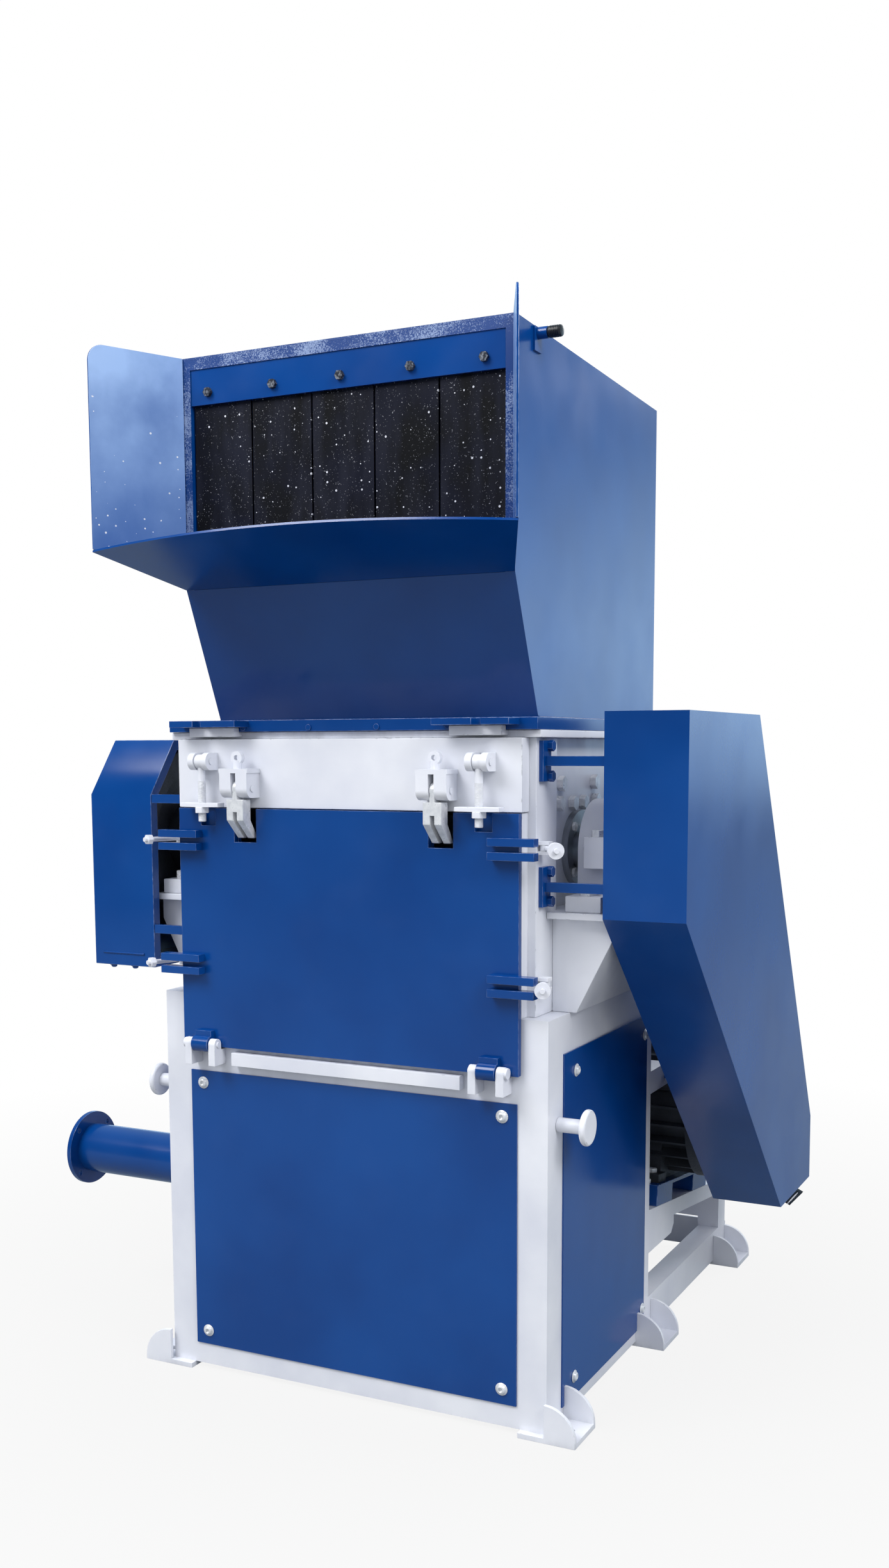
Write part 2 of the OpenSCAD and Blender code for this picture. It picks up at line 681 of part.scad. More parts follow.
module chamber_side() difference() {
    union() {
        span([in_hw, front_set, base_h], [out_hw, chamber_d, top_z]);
        column();
        span([seat_hw - seat_w, 0, base_h], [seat_hw, front_set, stop_z - 2 * loose]);
    }
    translate([0, rotor_y, rotor_z]) rod_x(in_hw - cut, side_t + 2 * cut, shaft_hole_d);
}

module chamber_side_right() color(white) at_front() chamber_side();
module chamber_side_left() color(white) at_front() mirror([1, 0, 0]) chamber_side();

wall_t = 24;
bed_reach = 76;
bed_front = front_set;
bed_rear = 2 * rotor_y - bed_front;
wall_y = bed_rear;

module chamber_rear_wall() color(white) at_front() {
    span([-in_hw, wall_y, base_h], [in_hw, wall_y + wall_t, top_z]);
    span([-in_hw, wall_y - bed_reach / 2, cross_z + bed_t], [in_hw, wall_y, cross_z + 3 * bed_t]);
}

cross_proud = 8;
cross_hw = seat_hw + 3;
cross_block = 36;

module crossmember() color(white) at_front() {
    span([-cross_hw, -cross_proud, stop_z], [cross_hw, front_set, top_z]);
    span([-in_hw, front_set, cross_z + bed_t], [in_hw, front_set + cross_block, top_z]);
}

top_hw = 380;
top_y0 = 10;
top_y1 = 560;
feed_hw = 300;
feed_y0 = 110;
feed_y1 = 496;
pad_x0 = 220;
pad_x1 = 320;
pad_lead = 18;
pad_h = 18;
pad_up = 8;

module top_plate() color(white) at_front() {
    difference() {
        span([-top_hw, top_y0, top_z], [top_hw, top_y1, plate_z]);
        span([-feed_hw, feed_y0, top_z - cut], [feed_hw, feed_y1, plate_z + cut]);
    }
    both_sides() {
        span([pad_x0, -pad_lead, plate_z - pad_h / 2], [pad_x1, top_y0, plate_z]);
        span([pad_x0, -pad_lead, plate_z - pad_h / 2], [pad_x1, -loose, plate_z + pad_up]);
    }
}

module bed_knives() color(steel) at_front() {
    span([-in_hw + loose, bed_front, cross_z], [in_hw - loose, bed_front + bed_reach, cross_z + bed_t]);
    span([-in_hw + loose, bed_rear - bed_reach, cross_z], [in_hw - loose, bed_rear, cross_z + bed_t]);
}

screen_top = cross_z - 10;
screen_cols = 9;
screen_rows = 5;
screen_sweep = 32;

module screen() color(steel) at_front() difference() {
    translate([0, rotor_y, rotor_z]) rod_x(-in_hw + loose, chamber_w - 2 * loose, 2 * screen_out);
    translate([0, rotor_y, rotor_z]) rod_x(-in_hw - cut, chamber_w + 2 * cut, 2 * screen_r);
    span([-base_w, 0, screen_top], [base_w, base_d, screen_top + base_h]);
    for (c = [0 : screen_cols - 1], r = [0 : screen_rows - 1])
        translate([(c - (screen_cols - 1) / 2) * chamber_w / (screen_cols + 1), rotor_y, rotor_z])
            rotate([(r - (screen_rows - 1) / 2) * screen_sweep, 0, 0])
                translate([0, 0, -screen_out - cut]) cylinder(h = screen_t + 3 * cut, d = screen_hole_d);
}

rib_out = 24;
cradle_bar = 24;
cradle_x = in_hw * 2 / 3;
cradle_drop = 20;
cradle_z = rotor_z - cradle_bar * 5 / 4;

module screen_cradle() color(steel) at_front() {
    for (s = [-1, 0, 1]) difference() {
        translate([0, rotor_y, rotor_z])
            rod_x(s * cradle_x - rib_t, 2 * rib_t, 2 * (screen_out + rib_out));
        translate([0, rotor_y, rotor_z]) rod_x(-base_w, 2 * base_w, 2 * (screen_out + loose));
        span([-base_w, 0, screen_top - cradle_drop], [base_w, base_d, screen_top + base_h]);
    }
    for (s = [-1, 1]) translate([-in_hw, rotor_y + s * (screen_out + rib_out) - cradle_bar / 2, cradle_z])
        cube([chamber_w, cradle_bar, cradle_bar]);
}

// Bolts on the side plates, from the rotor's axis, as shares of the cutting radius
side_bolt_shares = [[-0.47, 0.69], [-0.51, 0.485], [-0.15, 0.48], [0.47, 0.69], [0.51, 0.485],
    [0.15, 0.48], [-0.63, -0.86], [0.63, -0.86]];
seal_bolts = 4;
seal_bolt_r = 59;
seal_bolt_af = 16;
side_bolt_af = 24;
side_bolt_h = 12;
bearing_bolt_af = 30;
bearing_bolt_h = 16;
bearing_bolt_in = 26;
cap_bolt_af = 22;
cap_bolt_in = 13;

module chamber_bolts() color(zinc) at_front() both_sides() {
    for (share = side_bolt_shares)
        translate([0, rotor_y + share[0] * rotor_r, rotor_z + share[1] * rotor_r])
            hex_x(out_hw, side_bolt_h, side_bolt_af);
    for (i = [0 : seal_bolts - 1]) translate([0, rotor_y, rotor_z])
        rotate([360 / seal_bolts * (i + 0.5), 0, 0]) translate([0, seal_bolt_r, 0])
            hex_x(out_hw + seal_t, side_bolt_h / 2, seal_bolt_af);
    for (s = [-1, 1]) {
        translate([bearing_x0 + bearing_w / 2, rotor_y + s * (bearing_foot / 2 - bearing_bolt_in),
            bracket_z + bearing_foot_t]) hex_z(0, bearing_bolt_h, bearing_bolt_af);
        translate([bearing_x0 + bearing_w / 2, rotor_y + s * (bearing_body / 2 - cap_bolt_in),
            rotor_z + bearing_foot_t]) hex_z(0, side_bolt_h, cap_bolt_af);
    }
}

module shaft_seals() color(steel) at_front() both_sides() translate([0, rotor_y, rotor_z]) difference() {
    rod_x(out_hw, seal_t, seal_d);
    rod_x(out_hw - cut, seal_t + 2 * cut, shaft_d + 2 * loose);
}

// Bearing brackets: a top plate on two gussets, closed by a slanted plate

bracket_z = rotor_z - bearing_h;
bracket_x1 = 477;
bracket_foot = 412;
bracket_deep = 52;
bracket_y0 = rotor_y - 162;
bracket_y1 = rotor_y + 162;

module bracket_outline() polygon([[out_hw, base_h], [bracket_foot, base_h],
    [bracket_x1, bracket_z - bracket_deep], [bracket_x1, bracket_z], [out_hw, bracket_z]]);

module bearing_brackets() color(white) at_front() both_sides() difference() {
    union() {
        along_y(bracket_y0, bracket_t) bracket_outline();
        along_y(bracket_y1 - bracket_t, bracket_t) bracket_outline();
        along_y(bracket_y0, bracket_y1 - bracket_y0) {
            strip([bracket_foot, base_h], [bracket_x1, bracket_z - bracket_deep], bracket_t);
            strip([bracket_x1, bracket_z - bracket_deep], [bracket_x1, bracket_z], bracket_t);
        }
        span([out_hw, rotor_y - bearing_foot / 2 - bracket_t, bracket_z - bracket_t],
            [bracket_x1, rotor_y + bearing_foot / 2 + bracket_t, bracket_z]);
    }
    column();
}

bearing_x0 = 385;
bearing_foot_t = 28;
bearing_body = 240;

module bearing_housings() color(white) at_front() both_sides() difference() {
    union() {
        translate([0, rotor_y, rotor_z]) rod_x(bearing_x0, bearing_w, 2 * bearing_r);
        span([bearing_x0, rotor_y - bearing_r, bracket_z], [bearing_x0 + bearing_w, rotor_y + bearing_r, rotor_z]);
        span([bearing_x0 + bearing_w / 8, rotor_y - bearing_foot / 2, bracket_z],
            [bearing_x0 + bearing_w * 7 / 8, rotor_y + bearing_foot / 2, bracket_z + bearing_foot_t]);
        span([bearing_x0 + bearing_w / 4, rotor_y - bearing_body / 2, rotor_z - bearing_foot_t],
            [bearing_x0 + bearing_w * 3 / 4, rotor_y + bearing_body / 2, rotor_z + bearing_foot_t]);
    }
    translate([0, rotor_y, rotor_z]) rod_x(bearing_x0 - cut, bearing_w + 2 * cut, shaft_d + 2 * bearing_gap);
}

// Rotor

fly_x = 540;
shaft_over = 6;
fly_end = fly_x + flywheel_w / 2 + shaft_over;
shaft_end = pulley_x + pulley_w / 2 + shaft_over;

module rotor_shaft() color(steel) at_front() translate([0, rotor_y, rotor_z])
    rod_x(-fly_end, fly_end + shaft_end, shaft_d);

rotor_side_gap = 5;
rotor_len = chamber_w - 2 * rotor_side_gap;
hub_r = 105;
arm_w = 56;
knife_t = 14;
knife_deep = 60;
knives = 3;
knife_x = arm_w / 2;
knife_proud = 8;

module rotor_body() color(iron) at_front() translate([0, rotor_y, rotor_z]) difference() {
    union() {
        rod_x(-rotor_len / 2, rotor_len, 2 * hub_r);
        for (i = [0 : knives - 1]) rotate([360 / knives * i, 0, 0])
            translate([-rotor_len / 2, -arm_w / 2, 0]) cube([rotor_len, arm_w, rotor_r - knife_proud]);
    }
    rod_x(-rotor_len, 2 * rotor_len, shaft_d);
}

knife_bolts = 5;

module rotor_knives() color(zinc) at_front() translate([0, rotor_y, rotor_z])
    for (i = [0 : knives - 1]) rotate([360 / knives * i, 0, 0]) {
        translate([-rotor_len / 2, knife_x, sqrt(rotor_r * rotor_r - pow(knife_x + knife_t, 2)) - knife_deep])
            cube([rotor_len, knife_t, knife_deep]);
        for (b = [0 : knife_bolts - 1]) translate([(b - (knife_bolts - 1) / 2) * rotor_len / knife_bolts,
            knife_x + knife_t, rotor_r - knife_deep]) rotate([-90, 0, 0]) hex_z(0, head_h, bolt_af);
    }

fly_rim = 44;
fly_web = 30;
fly_hub = 150;

module flywheel() color(iron) at_front() translate([-fly_x, rotor_y, rotor_z]) rotate([0, 90, 0])
    rotate_extrude() polygon([[shaft_d / 2, -flywheel_w / 2], [fly_hub / 2, -flywheel_w / 2],
        [fly_hub / 2, -fly_web / 2], [flywheel_d / 2 - fly_rim, -fly_web / 2],
        [flywheel_d / 2 - fly_rim, -flywheel_w / 2], [flywheel_d / 2, -flywheel_w / 2],
        [flywheel_d / 2, flywheel_w / 2], [flywheel_d / 2 - fly_rim, flywheel_w / 2],
        [flywheel_d / 2 - fly_rim, fly_web / 2], [fly_hub / 2, fly_web / 2],
        [fly_hub / 2, flywheel_w / 2], [shaft_d / 2, flywheel_w / 2]]);

module rotor_pulley() color(iron) at_front() translate([pulley_x, rotor_y, rotor_z])
    pulley(rotor_pulley_d, shaft_d);

// Door: a thick plate with notches over the hooks and bolts, knuckles at its foot and forks at its sides

door_hw = seat_hw;
door_foot_gap = 1;
door_z0 = ledge_top + door_foot_gap;
door_z1 = cross_z - door_foot_gap;
door_y1 = -door_gap;
door_y0 = door_y1 - door_t;
hinge_y = -hinge_out;
hinge_up = 7;
hinge_z = door_z0 + hinge_up;
hook_notch_w = 48;
hook_notch_h = 62;
bolt_notch_w = 32;
bolt_notch_h = 32;
seat_bar_h = 74;
seat_bar_t = 10;
knuckle_w = 36;
knuckle_r = 15;
prong_in = 299;
prong_d = 20;
rib_x = 120;
door_rib = 18;
door_rib_w = 12;
rib_side_gap = 6;
rib_hw = seat_hw - 2 * seat_w - rib_side_gap;
rib_z0 = door_z0 + ledge_h;
rib_z1 = door_z1 - seat_bar_h - rib_side_gap;

module knuckle() difference() {
    along_x(hinge_x - knuckle_w / 2, knuckle_w) {
        translate([hinge_y, hinge_z]) circle(r = knuckle_r);
        translate([hinge_y, hinge_z - knuckle_r / 3]) square([door_y1 - hinge_y, knuckle_r * 2]);
    }
    translate([0, hinge_y, hinge_z])
        rod_x(hinge_x - knuckle_w, 2 * knuckle_w, hinge_pin_d + 2 * pin_gap);
}

module fork(z) for (s = [-1, 1])
    translate([prong_in, door_y0 - prong_d, z + s * (fork_gap + prong_t) / 2 - prong_t / 2])
        cube([fork_reach - prong_in, prong_d, prong_t]);

module front_door() color(blue) at_front() {
    difference() {
        span([-door_hw, door_y0, door_z0], [door_hw, door_y1, door_z1]);
        for (s = [-1, 1]) {
            translate([s * hook_x - hook_notch_w / 2, door_y0 - cut, door_z1 - hook_notch_h])
                cube([hook_notch_w, door_t + 2 * cut, hook_notch_h + cut]);
            translate([s * hold_x - bolt_notch_w / 2, door_y0 - cut, door_z1 - bolt_notch_h])
                cube([bolt_notch_w, door_t + 2 * cut, bolt_notch_h + cut]);
        }
        both_sides() translate([0, hinge_y, hinge_z])
            rod_x(hinge_x - knuckle_w, 2 * knuckle_w, hinge_pin_d + 2 * pin_gap);
    }
    both_sides() {
        knuckle();
        fork(fork_z_hi);
        fork(fork_z_lo);
        span([rib_x, door_y1, rib_z0], [rib_x + door_rib_w, door_y1 + door_rib, rib_z1]);
    }
    for (z = [rib_z0, rib_z1 - door_rib_w])
        span([-rib_hw, door_y1, z], [rib_hw, door_y1 + door_rib, z + door_rib_w]);
}

// Bar across the top of the opening that closes the small notches from behind
module door_seat() color(blue) at_front() difference() {
    span([-seat_hw + seat_w, 0, door_z1 - seat_bar_h], [seat_hw - seat_w, seat_bar_t, stop_z]);
    for (s = [-1, 1]) span([s * hook_x - hook_notch_w / 2, -cut, door_z1 - hook_notch_h],
        [s * hook_x + hook_notch_w / 2, seat_bar_t + cut, stop_z + cut]);
}

lug_t = 15;
lug_gap = 1;
lug_r = 11;
strip_hw = 240;
strip_up = 18;
strip_h = 25;
strip_z0 = ledge_z + strip_up;
strip_z1 = strip_z0 + strip_h;
strip_out = 18;
cheek_under = 3;
pin_over = 3;
pin_head_d = 20;
pin_head_t = 5;

// Hinge: two cheeks a side on the ledge, a pin through each pair, and the strip between the pairs
module door_hinge() color(white) at_front() {
    cheek_x = [hinge_x - knuckle_w / 2 - lug_gap - lug_t, hinge_x + knuckle_w / 2 + lug_gap];
    both_sides() {
        difference() {
            for (x = cheek_x) along_x(x, lug_t) {
                translate([hinge_y, hinge_z]) circle(r = lug_r);
                translate([hinge_y - lug_r, strip_z0]) square([-hinge_y + lug_r, door_z0 - strip_z0 - cheek_under]);
                translate([hinge_y - lug_r, strip_z0]) square([2 * lug_r, hinge_z - strip_z0]);
            }
            translate([0, hinge_y, hinge_z]) rod_x(cheek_x[0] - cut, base_w, hinge_pin_d);
        }
        translate([0, hinge_y, hinge_z]) {
            rod_x(cheek_x[0] - pin_over, knuckle_w + 2 * (lug_t + lug_gap + pin_over), hinge_pin_d);
            rod_x(cheek_x[1] + lug_t, pin_head_t, pin_head_d);
        }
    }
    span([-strip_hw, -strip_out, strip_z0], [strip_hw, 0, strip_z1]);
}

// Clamps: lugs on the crossmember and on the columns, and the bolts and hooks that swing in them

hold_y = -hold_out;
hold_z = 1191;
ear_t = 12;
eye_t = 16;
eye_gap = 0.5;
ear_r = 16;
face_y = -cross_proud;
hook_y = -34;
hook_z = 1142;
hook_ear_t = 24;
blade_t = 10;
hook_ear_r = 17;
eye_wall = 3;
ear_h = 56;
cap_t = 8;
cap_w = 62;
ring_d = 24;
ring_t = 10;
ring_hole = 10;
ring_neck_d = 16;
ring_up = 20;
swing_in = 12;
swing_y = front_set + swing_in;
swing_eye_r = 9;
swing_eye_over = 0.5;
swing_eye_t = swing_d + 2 * swing_eye_over;
swing_pin_d = swing_d - 2 * swing_eye_over;
swing_lug_t = 6;
swing_lug_d = 22;

module hold_ears() for (s = [-1, 1]) along_x(hold_x + s * (eye_t / 2 + eye_gap + ear_t / 2) - ear_t / 2, ear_t) {
    translate([hold_y, hold_z]) circle(r = ear_r);
    translate([hold_y, hold_z - ear_r]) square([face_y - hold_y, 2 * ear_r]);
}

module hook_ears() for (s = [-1, 1])
    along_x(hook_x + s * (blade_t / 2 + eye_gap + hook_ear_t / 2) - hook_ear_t / 2, hook_ear_t) {
        translate([hook_y, hook_z]) circle(r = hook_ear_r);
        translate([hook_y - hook_ear_r, hook_z]) square([2 * hook_ear_r, ear_h / 2]);
        translate([hook_y, hook_z - hook_ear_r]) square([face_y - hook_y, ear_h / 2 + hook_ear_r]);
    }

// Cap plate over the ears and the eye screw that stands on it
module hook_cap() translate([hook_x, hook_y, hook_z + ear_h / 2]) {
    translate([-cap_w / 2, -hook_ear_r, 0]) cube([cap_w, face_y - hook_y + hook_ear_r, cap_t]);
    translate([0, 0, cap_t]) cylinder(h = ring_up - ring_hole / 2, d = ring_neck_d);
    translate([0, 0, cap_t + ring_up]) difference() {
        rod_y(-ring_t / 2, ring_t, ring_d);
        rod_y(-ring_d, 2 * ring_d, ring_hole);
    }
}

module swing_lug(z) {
    difference() {
        for (s = [-1, 1])
            translate([0, 0, z + s * (swing_eye_t / 2 + loose + swing_lug_t / 2) - swing_lug_t / 2])
                span([column_hw, swing_y - swing_eye_r, 0],
                    [column_hw + swing_lug_d, swing_y + swing_eye_r, swing_lug_t]);
        translate([swing_x, swing_y, z - swing_lug_d]) cylinder(h = 2 * swing_lug_d, d = swing_pin_d);
    }
    translate([swing_x, swing_y, z - swing_eye_t / 2 - swing_lug_t - 2 * loose])
        cylinder(h = swing_eye_t + 2 * swing_lug_t + 4 * loose, d = swing_pin_d);
}

module clamp_lugs() color(white) at_front() both_sides() {
    difference() {
        hold_ears();
        translate([0, hold_y, hold_z]) rod_x(0, base_w, hinge_pin_d);
    }
    translate([hold_x - eye_t / 2 - ear_t - pin_over, hold_y, hold_z])
        rod_x(0, eye_t + 2 * (ear_t + pin_over), hinge_pin_d);
    difference() {
        hook_ears();
        translate([0, hook_y, hook_z]) rod_x(0, hold_x, hinge_pin_d);
    }
    translate([hook_x - blade_t / 2 - hook_ear_t - pin_over, hook_y, hook_z])
        rod_x(0, blade_t + 2 * (hook_ear_t + pin_over), hinge_pin_d);
    hook_cap();
    for (z = [fork_z_hi, fork_z_lo]) swing_lug(z);
}

tee_over = 3;
tee_z = door_z1 + tee_over;
tee_t = 8;
tee_w = 84;
tee_d = 22;
hold_nut_h = 11;
hold_nut_af = 24;
hold_end = 27;

module hold_down() translate([hold_x, hold_y, 0]) {
    difference() {
        union() {
            translate([0, 0, hold_z]) rod_x(-eye_t / 2, eye_t, 2 * (ear_r - eye_wall));
            translate([0, 0, tee_z - hold_end]) cylinder(h = hold_z - tee_z + hold_end, d = hold_d);
            translate([-tee_w / 2, -tee_d / 2, tee_z]) cube([tee_w, tee_d, tee_t]);
            hex_z(tee_z - hold_nut_h, hold_nut_h, hold_nut_af);
        }
        translate([0, 0, hold_z]) rod_x(-base_w, 2 * base_w, hinge_pin_d + 2 * pin_gap);
    }
}

module hold_down_right() color(white) at_front() hold_down();
module hold_down_left() color(white) at_front() mirror([1, 0, 0]) hold_down();

jaw_t = 14;
jaw_gap = 8;
// Dog-leg of a hook plate, from the pivot: down in front of the door, then back into the notch
jaw_w = 26;
jaw_drop = 58;
jaw_tip = 92;
jaw_back = 36;

module hook_clamp() difference() {
    union() {
        along_x(hook_x - blade_t / 2, blade_t) {
            translate([hook_y, hook_z]) circle(r = hook_ear_r - eye_wall);
            translate([hook_y - jaw_w / 2, hook_z - jaw_drop / 2]) square([jaw_w, jaw_drop / 2]);
        }
        for (s = [-1, 1]) along_x(hook_x + s * (jaw_gap + jaw_t) / 2 - jaw_t / 2, jaw_t)
            polygon([[hook_y - jaw_w / 2, hook_z - hook_ear_r - eye_wall],
                [hook_y - jaw_w / 2, hook_z - jaw_drop], [hook_y + jaw_back - jaw_w / 2, hook_z - jaw_tip],
                [hook_y + jaw_back, hook_z - jaw_tip], [hook_y + jaw_w / 2, hook_z - jaw_drop],
                [hook_y + jaw_w / 2, hook_z - hook_ear_r - eye_wall]]);
        span([hook_x - jaw_gap / 2 - jaw_t, hook_y - jaw_w / 2, hook_z - jaw_drop / 2 - jaw_t],
            [hook_x + jaw_gap / 2 + jaw_t, hook_y + jaw_w / 2, hook_z - jaw_drop / 2]);
    }
    translate([0, hook_y, hook_z]) rod_x(0, base_w, hinge_pin_d + 2 * pin_gap);
}

module hook_clamp_right() color(zinc) at_front() hook_clamp();
module hook_clamp_left() color(zinc) at_front() mirror([1, 0, 0]) hook_clamp();

swing_rod = 88;
nut_seat_gap = 3;
nut_seat = swing_y - door_y0 + prong_d + nut_seat_gap;
big_nut_d = 28;
nut_t = 10;
small_nut_af = 17;
turned_out = 20;
turned_far = 35;

// Side bolt about its pivot, turned out from the fork by an angle
module side_bolt(z, angle, big) translate([swing_x, swing_y, z]) rotate([0, 0, angle]) {
    difference() {
        union() {
            translate([0, 0, -swing_eye_t / 2]) cylinder(h = swing_eye_t, r = swing_eye_r);
            rod_y(-swing_rod, swing_rod, swing_d);
            if (big) rod_y(-nut_seat - nut_t, nut_t, big_nut_d);
            else translate([0, -nut_seat - nut_t, 0]) rotate([-90, 0, 0]) hex_z(0, nut_t, small_nut_af);
        }
        translate([0, 0, -base_h]) cylinder(h = 2 * base_h, d = swing_pin_d + 2 * pin_gap);
    }
}

module side_bolt_right_upper() color(white) at_front() side_bolt(fork_z_hi, turned_far, true);
module side_bolt_right_lower() color(white) at_front() side_bolt(fork_z_lo, turned_out, true);
module side_bolt_left_upper() color(white) at_front() mirror([1, 0, 0]) side_bolt(fork_z_hi, turned_out, false);
module side_bolt_left_lower() color(white) at_front() mirror([1, 0, 0]) side_bolt(fork_z_lo, turned_out, false);

// Hopper: a sheet shell on a bar flange, with the feed mouth in front

mouth_y = 4;
flange_z0 = plate_z + loose;
flange_z1 = flange_z0 + hopper_flange_h;
shell_far = mouth_y + hopper_d;
chute_z = 1480;

shell_outline = [[throat_y, flange_z1], [shell_far, flange_z1], [shell_far, hopper_top - hopper_drop],
    [mouth_y, hopper_top], [mouth_y, bend_z]];

module hopper_shell() color(blue) at_front() {
    both_sides() along_x(hopper_hw - hopper_t, hopper_t) polygon(shell_outline);
    along_x(-hopper_hw, 2 * hopper_hw) {
        strip(shell_outline[1], shell_outline[2], hopper_t);
        strip(shell_outline[2], shell_outline[3], hopper_t);
        strip(shell_outline[4], shell_outline[0], hopper_t);
        strip([feed_y1, flange_z1], [shell_far - hopper_t / 2, chute_z], hopper_t);
    }
    both_sides() span([hopper_hw - mouth_bar, mouth_y, bend_z],
        [hopper_hw, mouth_y + mouth_bar, hopper_top - mouth_bar]);
    span([-hopper_hw, mouth_y, hopper_top - mouth_bar - hopper_t],
        [hopper_hw, mouth_y + mouth_bar, hopper_top - hopper_t]);
    latch_body();
}

lug_bar_x0 = 200;
lug_bar_x1 = 345;
lug_bar_lead = 46;
lug_bar_z0 = plate_z + pad_up + loose;
lug_bar_h = 12;
slot_gap = 1.5;
knee_x = 210;
neck_t = 20;
neck_r = 15;
neck_wall = 1;
tilt_down = 21;
tilt_z = plate_z - tilt_down;
tilt_lug_t = 16;
flange_bolt_shares = [-0.63, -0.21, 0.21, 0.63];
flange_bolt_d = 11;
flange_bolt_h = 3;

module hopper_flange() color(blue) at_front() {
    difference() {
        span([-hopper_flange_hw, 0, flange_z0], [hopper_flange_hw, shell_far + hopper_t, flange_z1]);
        span([-hopper_hw + hopper_t, throat_y + hopper_t, flange_z0 - cut],
            [hopper_hw - hopper_t, feed_y1, flange_z1 + cut]);
    }
    both_sides() difference() {
        span([lug_bar_x0, -lug_bar_lead, lug_bar_z0], [lug_bar_x1, 0, lug_bar_z0 + lug_bar_h]);
        translate([hold_x, hold_y, lug_bar_z0 - cut])
            cylinder(h = lug_bar_h + 2 * cut, d = hold_d + 2 * slot_gap);
        span([hold_x - hold_d / 2 - slot_gap, -lug_bar_lead - cut, lug_bar_z0 - cut],
            [hold_x + hold_d / 2 + slot_gap, hold_y, lug_bar_z0 + lug_bar_h + cut]);
    }
    both_sides() difference() {
        along_x(knee_x - neck_t / 2, neck_t) {
            translate([tilt_y, tilt_z]) circle(r = neck_r);
            translate([tilt_y - neck_r + neck_wall, tilt_z])
                square([2 * (neck_r - neck_wall), flange_z0 - tilt_z]);
        }
        translate([0, tilt_y, tilt_z]) rod_x(0, base_w, tilt_pin_d + 2 * pin_gap);
    }
    for (share = flange_bolt_shares)
        translate([share * hopper_hw, 0, flange_z0 + hopper_flange_h / 3])
            rod_y(-flange_bolt_h, flange_bolt_h, flange_bolt_d);
}

tray_t = 4;
tray_angle = atan2(tray_rise, wing_len * cos(wing_flare));
tray_reach = norm([tray_rise, wing_len * cos(wing_flare)]);
tray_half = hopper_hw + wing_len * sin(wing_flare);
tray_bow_r = (tray_half * tray_half + tray_bow * tray_bow) / (2 * tray_bow);
tray_root = tray_t * tan(tray_angle) + loose;
bow_sides = 720;

// Tray: flat sheet from the bend, its front edge bowed outwards
module feed_tray() color(blue) at_front() translate([0, mouth_y, bend_z]) rotate([-tray_angle, 0, 0])
    intersection() {
        linear_extrude(tray_t) polygon([[-hopper_hw, -tray_root], [hopper_hw, -tray_root], [tray_half, -tray_reach],
            [tray_half, -tray_reach - tray_bow - cut], [-tray_half, -tray_reach - tray_bow - cut],
            [-tray_half, -tray_reach]]);
        translate([0, -tray_reach - tray_bow + tray_bow_r, -tray_t])
            cylinder(h = 3 * tray_t, r = tray_bow_r, $fn = bow_sides);
    }

wing_t = 4;
wing_corner = 30;
wing_seat = tray_t / cos(tray_angle) + wing_t * sin(wing_flare) * tan(tray_angle) + loose;

module wing() translate([hopper_hw, mouth_y, 0]) rotate([0, 0, wing_flare - 90]) rotate([90, 0, 0])
    linear_extrude(wing_t) {
        polygon([[0, bend_z + wing_seat], [wing_len, bend_z + tray_rise + wing_seat],
            [wing_len, hopper_top - wing_corner], [wing_len - wing_corner, hopper_top], [0, hopper_top]]);
        translate([wing_len - wing_corner, hopper_top - wing_corner]) circle(r = wing_corner);
    }

module feed_wings() color(blue) at_front() both_sides() wing();

band_in = 8;
band_h = 63;
band_side_gap = 1;
band_y = mouth_y + band_in;
band_z1 = hopper_top - mouth_bar - hopper_t;
band_z0 = band_z1 - band_h;
band_hw = hopper_hw - mouth_bar - band_side_gap;
retainer_t = 6;
strips = 5;
strip_pitch = 2 * band_hw / strips;
curtain_bolt_shares = [-0.88, -0.44, 0, 0.44, 0.88];
curtain_bolt_af = 15;
curtain_bolt_h = 7;

// Steel strip, the rubber band clamped behind it and the bolts through both
module curtain_retainer() at_front() {
    color(blue) span([-band_hw, band_y - retainer_t, band_z0], [band_hw, band_y, band_z1]);
    color(black) span([-band_hw, band_y, band_z0 + loose], [band_hw, band_y + rubber_t, band_z1]);
    color(iron) for (share = curtain_bolt_shares)
        translate([share * band_hw, band_y - retainer_t, band_z0 + band_h / 3])
            rotate([90, 0, 0]) hex_z(0, curtain_bolt_h, curtain_bolt_af);
}

module curtain_strip(i) color(black) at_front()
    span([-band_hw + i * strip_pitch + slit / 2, band_y + loose, band_z0 - strip_len],
        [-band_hw + (i + 1) * strip_pitch - slit / 2, band_y + rubber_t, band_z0 - loose]);

module curtain_strip_1() curtain_strip(0);
module curtain_strip_2() curtain_strip(1);
module curtain_strip_3() curtain_strip(2);
module curtain_strip_4() curtain_strip(3);
module curtain_strip_5() curtain_strip(4);

// Fixed half of the hopper's hinge: cheeks under the top plate's rear edge, with their pins
module hopper_hinge() color(white) at_front() both_sides() {
    cheeks = [knee_x - neck_t / 2 - lug_gap - tilt_lug_t, knee_x + neck_t / 2 + lug_gap];
    difference() {
        for (x = cheeks) along_x(x, tilt_lug_t) {
            translate([tilt_y, tilt_z]) circle(r = neck_r - neck_wall);
            translate([chamber_d, tilt_z - neck_r + neck_wall])
                square([tilt_y - chamber_d, top_z - tilt_z + neck_r - neck_wall]);
        }
        translate([0, tilt_y, tilt_z]) rod_x(0, base_w, tilt_pin_d);
    }
    translate([0, tilt_y, tilt_z])
        rod_x(cheeks[0] - pin_over, neck_t + 2 * (lug_gap + tilt_lug_t + pin_over), tilt_pin_d);
}

latch_y = 90;
latch_down = 14;
latch_z = hopper_top - latch_down;
latch_w = 30;
latch_out = 22;
plunger_d = 8;
knob_d = 20;
knob_len = 26;

